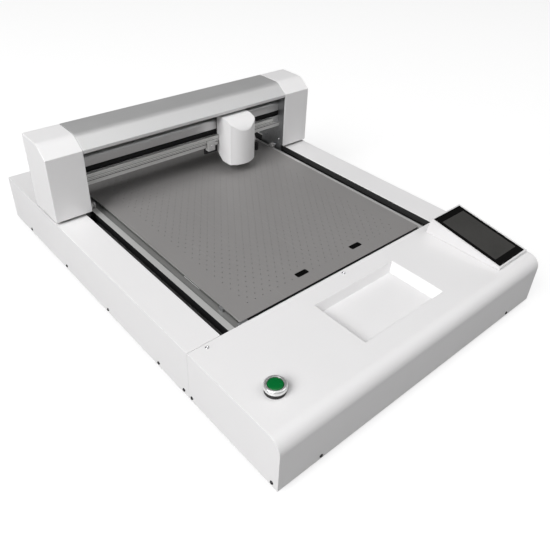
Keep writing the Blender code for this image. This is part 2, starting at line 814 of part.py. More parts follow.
def drive_pulley(side):
    """Drive pulley with the motor's shaft, which runs back into the motor."""
    margin = FLANGE_T + GAP
    outer = Y_BELT_INSET - margin
    inner = Y_BELT_INSET + Y_BELT_W + margin
    shaft_end = inner + GAP * 8 + MOTOR_L / 3
    rim = Y_PULLEY_R + FLANGE_RISE
    shape = [(0.0, outer), (rim, outer), (rim, outer + FLANGE_T), (Y_PULLEY_R, outer + FLANGE_T)]
    shape += [(Y_PULLEY_R, inner - FLANGE_T), (rim, inner - FLANGE_T), (rim, inner)]
    shape += [(SHAFT_R, inner), (SHAFT_R, shaft_end), (0.0, shaft_end)]
    profile = [(radius, inset_x(side, inset)) for radius, inset in shape]
    centre = (REAR - Y_DRIVE_REAR, Y_AXIS_Z)
    return turned(f"{SIDES[side]}_drive_pulley", profile, centre, "X", aluminium(), 24)


def y_motor(side):
    face = Y_BELT_INSET + Y_BELT_W + FLANGE_T + GAP * 8
    y = REAR - Y_DRIVE_REAR
    xs = span(side, face, face + MOTOR_L)
    half = MOTOR_W / 2
    bevelled = rounded_rectangle((y - half, Y_AXIS_Z - half), (y + half, Y_AXIS_Z + half), 0.004, 1)
    motor = prism(f"{SIDES[side]}_y_motor", bevelled, "X", xs[0], xs[1], black_plastic())
    weld(motor, box("motor_stand", xs, (y - half / 2, y + half / 2),
                    (PAN_TOP + GAP, Y_AXIS_Z - half / 2), None))
    depth = span(side, face - 0.01, face + MOTOR_L / 2)
    return cut(motor, cylinder("motor_bore", SHAFT_R + GAP, depth, (y, Y_AXIS_Z), "X", None, 20))


def idler_bracket(side):
    """Bracket that stands on the pan and carries the idler's axle."""
    y = SEAM_Y + Y_IDLER_FRONT
    margin = FLANGE_T + GAP * 2
    near = Y_BELT_INSET - margin
    bracket = box(f"{SIDES[side]}_idler_bracket", span(side, near - 0.004, near),
                  (y - Y_PULLEY_R, y + Y_PULLEY_R), (PAN_TOP + GAP, Y_AXIS_Z + Y_PULLEY_R), zinc())
    weld(bracket, box("bracket_foot", span(side, near - 0.012, near - 0.002),
                      (y - Y_PULLEY_R, y + Y_PULLEY_R), (PAN_TOP + GAP, PAN_TOP + 0.003), None))
    ends = span(side, near - 0.002, Y_BELT_INSET + Y_BELT_W + margin)
    return weld(bracket, cylinder("idler_axle", AXLE_R, ends, (y, Y_AXIS_Z), "X", None, 20))


def idler_pulley(side):
    margin = FLANGE_T + GAP
    low, high = span(side, Y_BELT_INSET - margin, Y_BELT_INSET + Y_BELT_W + margin)
    profile = pulley_profile(Y_PULLEY_R, low, high, AXLE_R + GAP)
    centre = (SEAM_Y + Y_IDLER_FRONT, Y_AXIS_Z)
    return turned(f"{SIDES[side]}_idler_pulley", profile, centre, "X", aluminium(), 24)


# ---- electronics ----
def control_board():
    width, depth = BOARD_SIZE
    low = (LEFT + FOOT_INSET * 2, FRONT + FRONT_COVER_D / 2 - depth / 2)
    z = PAN_TOP + BOARD_RISE
    board = box("control_board", (low[0], low[0] + width), (low[1], low[1] + depth),
                (z, z + BOARD_T), board_green())
    for x in (0.06, 0.94):
        for y in (0.08, 0.92):
            place = (low[0] + width * x, low[1] + depth * y)
            weld(board, cylinder("standoff", AXLE_R, (PAN_TOP + GAP, z + BOARD_T / 2),
                                 place, "Z", None, 8))
    blocks = ((0.12, 0.2, 0.022, 0.020, 0.012), (0.40, 0.25, 0.026, 0.026, 0.004))
    blocks += ((0.74, 0.2, 0.018, 0.040, 0.010), (0.15, 0.62, 0.050, 0.012, 0.009))
    for x, y, block_w, block_d, block_h in blocks:
        corner = (low[0] + width * x, low[1] + depth * y)
        weld(board, box("board_block", (corner[0], corner[0] + block_w),
                        (corner[1], corner[1] + block_d),
                        (z + BOARD_T / 2, z + BOARD_T + block_h), None))
    return board


def power_supply():
    width, depth, height = SUPPLY_SIZE
    x = RIGHT - FOOT_INSET * 2 - width
    y = FRONT + FRONT_COVER_D / 2 - depth / 2
    z = PAN_TOP + GAP
    case = box("power_supply", (x, x + width), (y, y + depth), (z, z + height), zinc())
    return cut(case, box("terminal_step", (x + width * 0.9, x + width * 1.1),
                         (y - 0.01, y + depth + 0.01), (z + height / 2, z + height * 2), None))


def inlet_place():
    return INLET_SHIFT, UNDERSIDE + BODY_H / 2


def port_place():
    return INLET_SHIFT - PORT_SHIFT, UNDERSIDE + BODY_H / 2


def rocker_centre():
    x, z = inlet_place()
    return x + INLET_W / 2 - 0.009, z


def power_inlet():
    """Recessed mains socket with the power switch beside it, in one moulding."""
    x, z = inlet_place()
    half_w = INLET_W / 2
    half_h = INLET_H / 2
    inside = REAR - SHEET - GAP
    face = REAR - INLET_RECESS
    body = box("power_inlet", (x - half_w - INLET_FLANGE, x + half_w + INLET_FLANGE),
               (inside - INLET_DEPTH, inside),
               (z - half_h - INLET_FLANGE, z + half_h + INLET_FLANGE), black_plastic())
    cut(body, box("inlet_recess", (x - half_w, x + half_w), (face, REAR),
                  (z - half_h, z + half_h), None))
    socket_x = x - half_w + SOCKET_W / 2 + 0.004
    cut(body, box("socket", (socket_x - SOCKET_W / 2, socket_x + SOCKET_W / 2),
                  (face - SOCKET_DEPTH, REAR), (z - SOCKET_H / 2, z + SOCKET_H / 2), None))
    for dx, dz in ((-0.007, -0.002), (0.0, 0.002), (0.007, -0.002)):
        weld(body, box("socket_pin", (socket_x + dx - 0.001, socket_x + dx + 0.001),
                       (face - SOCKET_DEPTH - 0.002, face - 0.002),
                       (z + dz - 0.002, z + dz + 0.002), None))
    rocker_x, rocker_z = rocker_centre()
    well_w = ROCKER_W / 2 + GAP
    well_h = ROCKER_R + GAP
    return cut(body, box("rocker_well", (rocker_x - well_w, rocker_x + well_w),
                         (face - ROCKER_R - GAP, REAR),
                         (rocker_z - well_h, rocker_z + well_h), None))


def power_switch():
    """Rocker, pivoted in its well; its two pads meet at a shallow angle."""
    x, z = rocker_centre()
    face = REAR - INLET_RECESS
    half = ROCKER_H / 2
    proud = face + ROCKER_PROUD
    level = face + 0.0003
    back = face - ROCKER_BOSS + 0.003
    outline = [(proud, z + half * 0.96), (level, z - 0.001), (level + 0.0005, z - half * 0.96)]
    outline += [(back + 0.003, z - half * 0.9), (back, z - half * 0.4), (back, z + half * 0.4)]
    outline += [(back + 0.003, z + half * 0.9)]
    return prism("power_switch", outline, "X", x - ROCKER_W / 2, x + ROCKER_W / 2,
                 black_plastic(), (x, face - ROCKER_PIVOT, z))


def data_port():
    x, z = port_place()
    half_w = PORT_W / 2
    half_h = PORT_H / 2
    wall = 0.002
    port = box("data_port", (x - half_w, x + half_w), (REAR - PORT_DEPTH, REAR - GAP),
               (z - half_h, z + half_h), steel())
    cut(port, box("port_mouth", (x - half_w + wall, x + half_w - wall),
                  (REAR - PORT_DEPTH + wall * 1.5, REAR), (z - half_h + wall, z + half_h - wall),
                  None))
    return weld(port, box("port_tongue", (x - wall * 1.5, x + wall * 1.5),
                          (REAR - PORT_DEPTH + wall, REAR - wall * 1.5),
                          (z - wall * 0.75, z + wall * 0.75), None))


# ---- start button ----
def button_gasket():
    profile = [(BUTTON_HOLE_R, DECK + GAP), (GASKET_R, DECK + GAP), (GASKET_R, DECK + GASKET_T - GAP)]
    profile += [(GASKET_R - 0.0006, DECK + GASKET_T), (BUTTON_HOLE_R, DECK + GASKET_T)]
    return turned("button_gasket", profile, button_place(), "Z", rubber(), 32)


def button_bezel():
    base = DECK + GASKET_T + GAP
    rim = base + BEZEL_H
    inner = BUTTON_R + BUTTON_GAP
    bore = BARREL_R - 0.0025
    low = DECK - BARREL_L
    profile = [(0.0, low), (BARREL_R, low), (BARREL_R, base), (BEZEL_R, base)]
    profile += arc((BEZEL_R - BEZEL_ROUND, rim - BEZEL_ROUND), BEZEL_ROUND, 0, 90, 4)
    profile += [(inner, rim)]
    profile += [(inner, base + 0.0012), (bore, base + 0.0012), (bore, low + 0.002), (0.0, low + 0.002)]
    return turned("button_bezel", profile, button_place(), "Z", chrome(), 36)


def start_button():
    top = DECK + BUTTON_RISE
    under = DECK + GASKET_T + GAP + 0.0012 + BUTTON_TRAVEL + GAP
    foot = DECK - BARREL_L + 0.002 + BUTTON_TRAVEL + GAP
    profile = [(0.0, foot), (BUTTON_STEM_R, foot), (BUTTON_STEM_R, under), (BUTTON_R, under)]
    profile += [(BUTTON_R, top - 0.0016), (BUTTON_R - 0.0007, top - 0.0006)]
    profile += [(BUTTON_R - 0.0022, top), (0.0, top)]
    x, y = button_place()
    return turned("start_button", profile, (x, y), "Z", green_plastic(), 36, (x, y, under))


# ---- touch screen ----
def slope_point(along, down):
    """A point on the wedge's side: along the slope from its front edge, and down into it."""
    y = FRONT + SCREEN_FRONT + along * math.cos(SCREEN_TILT) + down * math.sin(SCREEN_TILT)
    z = DECK + SCREEN_FRONT_H + along * math.sin(SCREEN_TILT) - down * math.cos(SCREEN_TILT)
    return y, z


def slab(along, depth):
    """Rectangle on the wedge's side between two places along and two depths below the slope."""
    return [slope_point(along[0], depth[0]), slope_point(along[1], depth[0]),
            slope_point(along[1], depth[1]), slope_point(along[0], depth[1])]


def wedge_outline(wall, floor_z):
    """Side outline of the wedge, drawn in by a wall, down to a given height."""
    top_front = slope_point(wall, wall)
    top_rear = slope_point(SCREEN_L - wall, wall)
    lean = math.tan(SCREEN_TILT)
    foot_rear = (top_rear[0] + (top_rear[1] - floor_z) * lean, floor_z)
    return [(top_front[0], floor_z), top_front, top_rear, foot_rear]


def screen_xs(margin):
    middle = RIGHT - SCREEN_INSET
    return middle - SCREEN_W / 2 + margin, middle + SCREEN_W / 2 - margin


def display_housing():
    xs = screen_xs(0.0)
    housing = prism("display_housing", wedge_outline(0.0, DECK + GAP), "X", xs[0], xs[1],
                    white_plastic())
    bottom_wall = GLASS_T + SCREEN_WALL
    hollow_outline = wedge_outline(0.0, DECK - 0.001)
    front = FRONT + SCREEN_FRONT + SCREEN_WALL + PANEL_MARGIN * 2
    back = hollow_outline[3][0] - SCREEN_WALL
    ceiling_front = slope_point(SCREEN_WALL + PANEL_MARGIN * 2, bottom_wall)
    ceiling_back = slope_point(SCREEN_L - SCREEN_WALL, bottom_wall)
    hollow = [(front, DECK - 0.001), (front, ceiling_front[1]), ceiling_back, (back, DECK - 0.001)]
    inside = screen_xs(SCREEN_WALL)
    cut(housing, prism("wedge_hollow", hollow, "X", inside[0], inside[1], None))
    glass_xs = screen_xs(GLASS_MARGIN_X - GAP)
    pocket = slab((GLASS_MARGIN_Y - GAP, SCREEN_L - GLASS_MARGIN_Y + GAP), (-0.002, GLASS_T + GAP))
    cut(housing, prism("glass_pocket", pocket, "X", glass_xs[0], glass_xs[1], None))
    panel_xs = screen_xs(GLASS_MARGIN_X + PANEL_MARGIN - GAP)
    start = GLASS_MARGIN_Y + PANEL_MARGIN * 2
    well = slab((start - GAP, SCREEN_L - start + GAP), (0.001, GLASS_T + PANEL_T + GAP))
    return cut(housing, prism("panel_well", well, "X", panel_xs[0], panel_xs[1], None))


def touch_screen():
    """Cover glass with the display panel bonded under it."""
    glass_xs = screen_xs(GLASS_MARGIN_X)
    plate = slab((GLASS_MARGIN_Y, SCREEN_L - GLASS_MARGIN_Y), (0.0, GLASS_T))
    screen = prism("touch_screen", plate, "X", glass_xs[0], glass_xs[1], glass())
    start = GLASS_MARGIN_Y + PANEL_MARGIN * 2
    panel_xs = screen_xs(GLASS_MARGIN_X + PANEL_MARGIN)
    panel = slab((start, SCREEN_L - start), (GLASS_T / 2, GLASS_T + PANEL_T))
    return weld(screen, prism("panel", panel, "X", panel_xs[0], panel_xs[1], None))


# ---- gantry ----
def gantry_path(front_z, back_z):
    """Side outline of the caps and the beam cover: up the front, over the top, down the back."""
    back = GANTRY_Y + GANTRY_D
    corner = (GANTRY_Y, GANTRY_TOP - SHOULDER_DROP)
    fold = (GANTRY_Y + SHOULDER_D, GANTRY_TOP)
    top_back = (back, GANTRY_TOP)
    path = [(GANTRY_Y, front_z), corner, *fillet(corner, fold, top_back, SHOULDER_R, 6)]
    return [*path, top_back, (back, back_z)]


def gantry_cap(side):
    low = DECK + GANTRY_RISE
    path = gantry_path(low, low)
    cap = prism(f"{SIDES[side]}_gantry_cap", path, "X", *span(side, 0.0, CAP_W), white_plastic())
    inner = offset_path(gantry_path(low - CAP_WALL, low - CAP_WALL), CAP_WALL)
    return cut(cap, prism("cap_hollow", inner, "X", *span(side, CAP_WALL, CAP_W + CAP_WALL), None))


def beam_cover():
    corner_z = GANTRY_TOP - SHOULDER_DROP
    outer = gantry_path(corner_z - COVER_SKIRT, GANTRY_TOP - COVER_BACK_H)
    inner = offset_path(outer, COVER_SHEET)
    half = BODY_W / 2 - CAP_W - SEAM
    return prism("beam_cover", [*outer, *reversed(inner)], "X", -half, half, coat())


def end_plate(side):
    """Side plate of the gantry: inside the cap above the deck, through the slot below it."""
    wall = CAP_WALL + GAP
    low = DECK + GANTRY_RISE + wall
    upper = offset_path(gantry_path(low, low), wall)
    leg_front = GANTRY_Y + LEG_FRONT
    leg_back = leg_front + LEG_D
    foot = DECK - LEG_REACH
    outline = [*upper, (leg_back, low), (leg_back, foot), (leg_front, foot), (leg_front, low)]
    plate = prism(f"{SIDES[side]}_end_plate", outline, "X", *span(side, PLATE_INSET, PLATE_INNER),
                  zinc())
    reach = X_PULLEY_R + BELT_T + GAP * 4
    window = rectangle((X_BELT_Y - reach, SLOT_Z - GAP), (X_BELT_Y + reach, SLOT_Z + BELT_SLOT_H))
    cut(plate, prism("belt_window", window, "X", *span(side, PLATE_INSET - 0.01, PLATE_INNER + 0.01),
                     None))
    arm_y = (leg_front + leg_back) / 2
    arm_z = Y_AXIS_Z + Y_PULLEY_R + BELT_T + GAP * 2
    weld(plate, box("belt_clamp", span(side, Y_BELT_INSET, PLATE_INSET + 0.001),
                    (arm_y - CLAMP_ARM_D / 2, arm_y + CLAMP_ARM_D / 2),
                    (arm_z, arm_z + CLAMP_ARM_T), None))
    stud_end = guide_roller_span(side)[1] - 0.001
    weld(plate, cylinder("roller_stud", AXLE_R * 0.7, span(side, PLATE_INNER - 0.001, stud_end),
                         guide_roller_centre(), "X", None, 16))
    if side > 0:
        add_idler_arm(plate)
    return plate


def add_idler_arm(plate):
    """Arm and axle that carry the X belt's idler inside the right cap."""
    z = SLOT_Z - GAP
    xs = span(1, X_PULLEY_INSET - X_PULLEY_R, PLATE_INSET + 0.001)
    weld(plate, box("idler_arm", xs, (X_BELT_Y - X_PULLEY_R, X_BELT_Y + X_PULLEY_R),
                    (z - 0.004, z - 0.0005), None))
    centre = (inset_x(1, X_PULLEY_INSET), X_BELT_Y)
    weld(plate, cylinder("x_idler_axle", SHAFT_R, (z - 0.002, X_BELT_Z + X_BELT_W + FLANGE_T),
                         centre, "Z", None, 20))


def guide_roller_span(side):
    middle = RAIL_INSETS[side] + RAIL_HEAD_W / 2
    return middle - GUIDE_ROLLER_W / 2, middle + GUIDE_ROLLER_W / 2


def guide_roller_centre():
    return GANTRY_Y + GUIDE_ROLLER_BACK, RAIL_TOP + GAP + GUIDE_ROLLER_R


def guide_roller(side):
    """Two-flanged roller that runs on top of the Y rail."""
    first, second = guide_roller_span(side)
    low, high = span(side, first, second)
    waist = GUIDE_ROLLER_R * 0.72
    flange = GUIDE_ROLLER_W * 0.28
    bore = AXLE_R * 0.7 + GAP
    profile = [(bore, low), (GUIDE_ROLLER_R, low), (GUIDE_ROLLER_R, low + flange)]
    profile += [(waist, low + flange), (waist, high - flange), (GUIDE_ROLLER_R, high - flange)]
    profile += [(GUIDE_ROLLER_R, high), (bore, high)]
    return turned(f"{SIDES[side]}_guide_roller", profile, guide_roller_centre(), "X", steel(), 28)


def rail_block(side):
    """Slider fixed to the end plate, with a tongue in the rail's groove."""
    rail = RAIL_INSETS[side]
    middle = GANTRY_Y + LEG_FRONT + LEG_D / 2
    ys = (middle - BLOCK_L / 2, middle + BLOCK_L / 2)
    groove_top = RAIL_TOP - RAIL_GROOVE_DROP
    tongue = (groove_top - RAIL_GROOVE_H + GAP, groove_top - GAP)
    centre = (tongue[0] + tongue[1]) / 2
    block = box(f"{SIDES[side]}_rail_block", span(side, PLATE_INNER + GAP, rail - GAP), ys,
                (centre - BLOCK_H / 2, centre + BLOCK_H / 2), black_plastic())
    return weld(block, box("tongue", span(side, rail - 0.001, rail + RAIL_GROOVE_D - GAP), ys,
                           tongue, None))


def gantry_beam():
    top = BEAM_Z + BEAM_H
    back = BEAM_Y + BEAM_D
    lip_top = X_RAIL_Z - GAP
    slot_top = SLOT_Z + BELT_SLOT_H
    slot_back = BEAM_Y + BELT_SLOT_D
    outline = [(BEAM_Y - BEAM_LIP, BEAM_Z), (BEAM_Y - BEAM_LIP, lip_top), (BEAM_Y, lip_top)]
    outline += [(BEAM_Y, SLOT_Z), (slot_back, SLOT_Z), (slot_back, slot_top), (BEAM_Y, slot_top)]
    outline += fillet((BEAM_Y, slot_top), (BEAM_Y, top), (back, top), BEAM_R, 5)
    outline += [(back, top), (back, BEAM_Z)]
    beam = prism("gantry_beam", outline, "X", -BEAM_HALF, BEAM_HALF, aluminium())
    for low, high in ((BEAM_Z, SLOT_Z), (slot_top, top)):
        chamber = rectangle((BEAM_Y + BEAM_WALL, low + BEAM_WALL), (back - BEAM_WALL, high - BEAM_WALL))
        if low == slot_top:
            chamber = rectangle((BEAM_Y + BEAM_R, low + BEAM_WALL), (back - BEAM_WALL, high - BEAM_WALL))
        cut(beam, prism("chamber", chamber, "X", -BODY_W, BODY_W, None))
    return beam


def x_rail():
    """T-shaped rail screwed along the front of the beam."""
    back = BEAM_Y - GAP
    front = BEAM_Y - X_RAIL_D
    head = front + X_RAIL_HEAD
    low = X_RAIL_Z
    high = X_RAIL_Z + X_RAIL_H
    outline = [(front, low), (front, high), (head, high), (head, high - X_RAIL_NECK)]
    outline += [(back, high - X_RAIL_NECK), (back, low + X_RAIL_NECK)]
    outline += [(head, low + X_RAIL_NECK), (head, low)]
    start = inset_x(-1, CAP_W + X_RAIL_START)
    end = inset_x(1, CAP_W + X_RAIL_END)
    return prism("x_rail", outline, "X", start, end, steel())


def x_pulley_xs():
    return inset_x(-1, X_PULLEY_INSET), inset_x(1, X_PULLEY_INSET)


def x_belt():
    left, right = x_pulley_xs()
    return belt("x_belt", (left, X_BELT_Y), (right, X_BELT_Y), X_PULLEY_R, "Z",
                X_BELT_Z, X_BELT_Z + X_BELT_W)


def x_pulley_ends():
    return X_BELT_Z - GAP - FLANGE_T * 0.6, X_BELT_Z + X_BELT_W + GAP + FLANGE_T * 0.6


def x_pulley_shape(low, high):
    rim = X_PULLEY_R + FLANGE_RISE * 0.6
    flange = FLANGE_T * 0.6
    return [(rim, low), (rim, low + flange), (X_PULLEY_R, low + flange),
            (X_PULLEY_R, high - flange), (rim, high - flange), (rim, high)]


def x_motor_pulley():
    """Pulley with the motor's shaft, which runs up into the motor."""
    low, high = x_pulley_ends()
    shaft_top = high + GAP * 8 + X_MOTOR_L / 3
    profile = [(0.0, low), *x_pulley_shape(low, high), (SHAFT_R, high), (SHAFT_R, shaft_top)]
    profile += [(0.0, shaft_top)]
    return turned("x_motor_pulley", profile, (x_pulley_xs()[0], X_BELT_Y), "Z", aluminium(), 24)


def x_idler_pulley():
    low, high = x_pulley_ends()
    bore = SHAFT_R + GAP
    profile = [(bore, low), *x_pulley_shape(low, high), (bore, high)]
    return turned("x_idler_pulley", profile, (x_pulley_xs()[1], X_BELT_Y), "Z", aluminium(), 24)


def x_motor():
    x = x_pulley_xs()[0]
    base = x_pulley_ends()[1] + GAP * 6
    half = MOTOR_W / 2
    outline = rounded_rectangle((x - half, X_BELT_Y - half), (x + half, X_BELT_Y + half), 0.004, 1)
    motor = prism("x_motor", outline, "Z", base, base + X_MOTOR_L, black_plastic())
    weld(motor, box("motor_bracket", span(-1, X_PULLEY_INSET, PLATE_INSET - GAP),
                    (X_BELT_Y - half * 0.8, X_BELT_Y + half * 0.8), (base, base + 0.003), None))
    return cut(motor, cylinder("x_motor_bore", SHAFT_R + GAP, (base - 0.01, base + X_MOTOR_L / 2),
                               (x, X_BELT_Y), "Z", None, 20))


# ---- carriage and tool ----
def head_shape(name, inset, look):
    """Carriage cover's outer form, or its inner form when an inset is given."""
    half = HEAD_W / 2 - inset
    front = GANTRY_Y - HEAD_FRONT + inset
    back = GANTRY_Y + HEAD_BACK + inset
    reach = HEAD_W / 2 - HEAD_CORNER
    radius = (reach ** 2 + HEAD_BULGE ** 2) / (2 * HEAD_BULGE)
    middle_y = GANTRY_Y - HEAD_FRONT - HEAD_BULGE + radius
    swing = math.degrees(math.asin(reach / radius))
    plan = arc((CARRIAGE_X, middle_y), radius - inset, 270 - swing, 270 + swing, 10)
    plan = [point for point in plan if abs(point[0] - CARRIAGE_X) <= half - HEAD_CORNER * 0.5]
    plan += arc((CARRIAGE_X + half - HEAD_CORNER, front + HEAD_CORNER), HEAD_CORNER, -45, 0, 2)
    plan += [(CARRIAGE_X + half, back), (CARRIAGE_X - half, back)]
    plan += arc((CARRIAGE_X - half + HEAD_CORNER, front + HEAD_CORNER), HEAD_CORNER, 180, 225, 2)
    low = DECK + HEAD_LOW - inset
    top = DECK + HEAD_TOP - inset
    shape = prism(name, plan, "Z", low, top + 0.005, look)
    lowest = GANTRY_Y - HEAD_FRONT - HEAD_BULGE - 0.004
    turn = HEAD_CURVE_R - inset
    centre = (GANTRY_Y - 0.002, DECK + HEAD_TOP - HEAD_CURVE_R)
    side = [(back + 0.004, low - 0.004), (back + 0.004, top)]
    side += arc(centre, turn, 90, 172, 10)
    side += [(lowest, centre[1]), (lowest, low - 0.004)]
    keep_common(shape, prism("head_side", side, "X", -BODY_W, BODY_W, None))
    return shape


def carriage_cover():
    cover = head_shape("carriage_cover", 0.0, white_plastic())
    cut(cover, head_shape("head_hollow", HEAD_WALL, None))
    back = GANTRY_Y + HEAD_BACK
    low = DECK + HEAD_LOW
    wedge = [(back - HEAD_CHAMFER_D, low), (back + 0.01, low + HEAD_CHAMFER_H * 1.5)]
    wedge += [(back + 0.01, low - 0.01), (back - HEAD_CHAMFER_D, low - 0.01)]
    cut(cover, prism("head_chamfer", wedge, "X", -BODY_W, BODY_W, None))
    notch = rectangle((BEAM_Y - X_RAIL_D - HEAD_RUN_CLEAR, BEAM_Z - HEAD_RUN_CLEAR),
                      (back + 0.01, SLOT_Z + HEAD_RUN_CLEAR))
    return cut(cover, prism("rail_notch", notch, "X", -BODY_W, BODY_W, None))


def wing_front_y():
    """Front of the wings, which pass behind the cover and under the beam."""
    return GANTRY_Y + HEAD_BACK + GAP


def wing_zs():
    high = BEAM_Z - GAP * 2
    return high - WING_H, high


def carriage_plate():
    """Plate that grips the X rail, with wings under the beam and an arm to the belt."""
    front = CARRIAGE_Y
    back = CARRIAGE_BACK_Y
    head_back = BEAM_Y - X_RAIL_D + X_RAIL_HEAD + GAP
    lip_back = BEAM_Y - GAP * 2
    rail_top = X_RAIL_Z + X_RAIL_H
    jaw = 0.0035
    top = DECK + HEAD_TOP - 0.010
    low, high = wing_zs()
    wing_front = wing_front_y()
    wing_back = wing_front + WING_T
    outline = [(front, low), (wing_back, low), (wing_back, low + WING_T), (back, low + WING_T)]
    outline += [(back, rail_top + GAP), (head_back, rail_top + GAP)]
    outline += [(head_back, rail_top - X_RAIL_NECK + GAP), (lip_back, rail_top - X_RAIL_NECK + GAP)]
    outline += [(lip_back, rail_top + jaw), (back, rail_top + jaw), (back, top), (front, top)]
    half = HEAD_W / 2 - HEAD_WALL - GAP * 2
    plate = prism("carriage_plate", outline, "X", CARRIAGE_X - half, CARRIAGE_X + half, aluminium())
    weld(plate, box("wing", (CARRIAGE_X - WING_HALF, CARRIAGE_X + WING_HALF),
                    (wing_front, wing_back), (low, high), None))
    weld(plate, box("camera_tab", (CARRIAGE_X + WING_HALF - CAMERA_TAB, CARRIAGE_X + WING_HALF),
                    (wing_front, wing_back), (low - CAMERA_TAB, low + 0.001), None))
    belt_front = X_BELT_Y - X_PULLEY_R - BELT_T - GAP * 2
    weld(plate, box("belt_arm", (CARRIAGE_X - SLIDE_W / 2, CARRIAGE_X + SLIDE_W / 2),
                    (front + 0.001, belt_front), (rail_top + jaw / 2, rail_top + jaw + 0.005), None))
    stud = (wing_front - GAP - WHEEL_W, wing_front + 0.001)
    return weld(plate, cylinder("wheel_stud", SHAFT_R, stud, wheel_centre(), "Y", None, 20))


def wheel_centre():
    return CARRIAGE_X + WHEEL_OUT, BEAM_Z - GAP - WHEEL_R


def carriage_wheel():
    """Grooved wheel that runs along the underside of the beam."""
    high = wing_front_y() - GAP
    low = high - WHEEL_W
    bore = SHAFT_R + GAP
    groove = WHEEL_R - 0.0015
    profile = [(bore, low), (WHEEL_R - 0.0006, low), (WHEEL_R, low + WHEEL_W * 0.2)]
    profile += [(groove, low + WHEEL_W * 0.5), (WHEEL_R, high - WHEEL_W * 0.2)]
    profile += [(WHEEL_R - 0.0006, high), (bore, high)]
    return turned("carriage_wheel", profile, wheel_centre(), "Y", black_plastic(), 28)


def glide_pad():
    """Plastic pad under the beam at the wing's left end, with a tongue in front of the rail."""
    x = CARRIAGE_X - WING_HALF + 0.001
    back = wing_front_y() - GAP
    tongue_back = BEAM_Y - X_RAIL_D - GAP
    front = tongue_back - PAD_T
    high = wing_zs()[1]
    top = X_RAIL_Z + X_RAIL_H / 2
    outline = [(front, high - PAD_H), (back, high - PAD_H), (back, high)]
    outline += [(tongue_back, high), (tongue_back, top), (front, top)]
    return prism("glide_pad", outline, "X", x, x + PAD_W, white_plastic())


def tool_slide():
    x = CARRIAGE_X
    ys = (SLIDE_BACK_Y - SLIDE_D, SLIDE_BACK_Y)
    low = DECK + SLIDE_LOW
    slide = box("tool_slide", (x - SLIDE_W / 2, x + SLIDE_W / 2), ys, (low, low + SLIDE_H),
                black_anodised(), (x, TOOL_Y, low + SLIDE_H / 2))
    return cut(slide, cylinder("tool_bore", HOLDER_R + GAP, (low - 0.01, low + SLIDE_H + 0.01),
                               (x, TOOL_Y), "Z", None, 28))


def holder_ends():
    return BED_TOP + BLADE_CLEAR + 0.0015, DECK + SLIDE_LOW + SLIDE_H - 0.004


def blade_holder():
    low, high = holder_ends()
    collar = DECK + SLIDE_LOW - GAP
    bore = BLADE_R + GAP
    shaft = low + 0.030
    profile = [(0.0, high), (HOLDER_R, high), (HOLDER_R, collar), (HOLDER_COLLAR_R, collar)]
    profile += [(HOLDER_COLLAR_R, collar - 0.010), (HOLDER_R, collar - 0.010)]
    profile += [(HOLDER_R, low + 0.005), (HOLDER_R * 0.45, low), (bore, low), (bore, shaft)]
    profile += [(0.0, shaft)]
    return turned("blade_holder", profile, (CARRIAGE_X, TOOL_Y), "Z", aluminium(), 28)


def blade():
    """Drag knife: a thin pin whose cutting end is ground to one side."""
    tip = BED_TOP + BLADE_CLEAR
    top = holder_ends()[0] + 0.030 - GAP
    profile = [(0.0, tip + 0.0008), (BLADE_R * 0.6, tip + 0.0008), (BLADE_R, tip + 0.0030)]
    profile += [(BLADE_R, top), (0.0, top)]
    pin = turned("blade", profile, (CARRIAGE_X, TOOL_Y), "Z", steel(), 16)
    knife = [(TOOL_Y - BLADE_R * 0.5, tip), (TOOL_Y + BLADE_R * 0.5, tip + 0.0012)]
    knife += [(TOOL_Y + BLADE_R * 0.5, tip + 0.0022), (TOOL_Y - BLADE_R * 0.5, tip + 0.0022)]
    edge = BLADE_R * 0.2
    return weld(pin, prism("knife_edge", knife, "X", CARRIAGE_X - edge, CARRIAGE_X + edge, None))


def lift_motor():
    width, depth, height = LIFT_SIZE
    low = DECK + SLIDE_LOW + SLIDE_H + LIFT_TRAVEL + GAP * 2
    return box("lift_motor", (CARRIAGE_X - width / 2, CARRIAGE_X + width / 2),
               (SLIDE_BACK_Y - depth, SLIDE_BACK_Y), (low, low + height), black_plastic())


def camera_module():
    """Registration camera, looking down below the right-hand wheel."""
    back = wing_front_y() - GAP
    x = CARRIAGE_X + CAMERA_OUT
    y = back - CAMERA_R * 1.3
    high = wing_zs()[0] - CAMERA_TAB / 2
    low = high - CAMERA_L
    rim = CAMERA_R * 0.7
    profile = [(0.0, low + 0.001), (rim, low + 0.001), (rim, low), (CAMERA_R, low)]
    profile += [(CAMERA_R, high), (0.0, high)]
    barrel = turned("camera_module", profile, (x, y), "Z", black_plastic(), 24)
    return weld(barrel, box("camera_bracket", (CARRIAGE_X + WING_HALF - CAMERA_TAB + 0.001, x),
                            (y, back), (high - 0.005, high - 0.001), None))


# ---- assembly ----
def build_body():
    base_pan()
    feet()
    front_cover()
    rear_cover()
    bed_plate()
    sensor_bar()
    vacuum_plenum()
    vacuum_blower()
    blower_rotor()
    for side in SIDES:
        side_cover(side)
        y_rail(side)
        y_belt(side)
        drive_pulley(side)
        y_motor(side)
        idler_bracket(side)
        idler_pulley(side)
    control_board()
    power_supply()
    power_inlet()
    power_switch()
    data_port()
    button_gasket()
    button_bezel()
    start_button()
    display_housing()
    touch_screen()


def build_gantry():
    moving = frame("gantry_frame", (0.0, GANTRY_Y, DECK))
    pieces = [gantry_beam(), beam_cover(), x_rail(), x_belt(), x_motor(), x_motor_pulley()]
    pieces.append(x_idler_pulley())
    for side in SIDES:
        pieces += [gantry_cap(side), end_plate(side), rail_block(side), guide_roller(side)]
    attach(moving, *pieces)


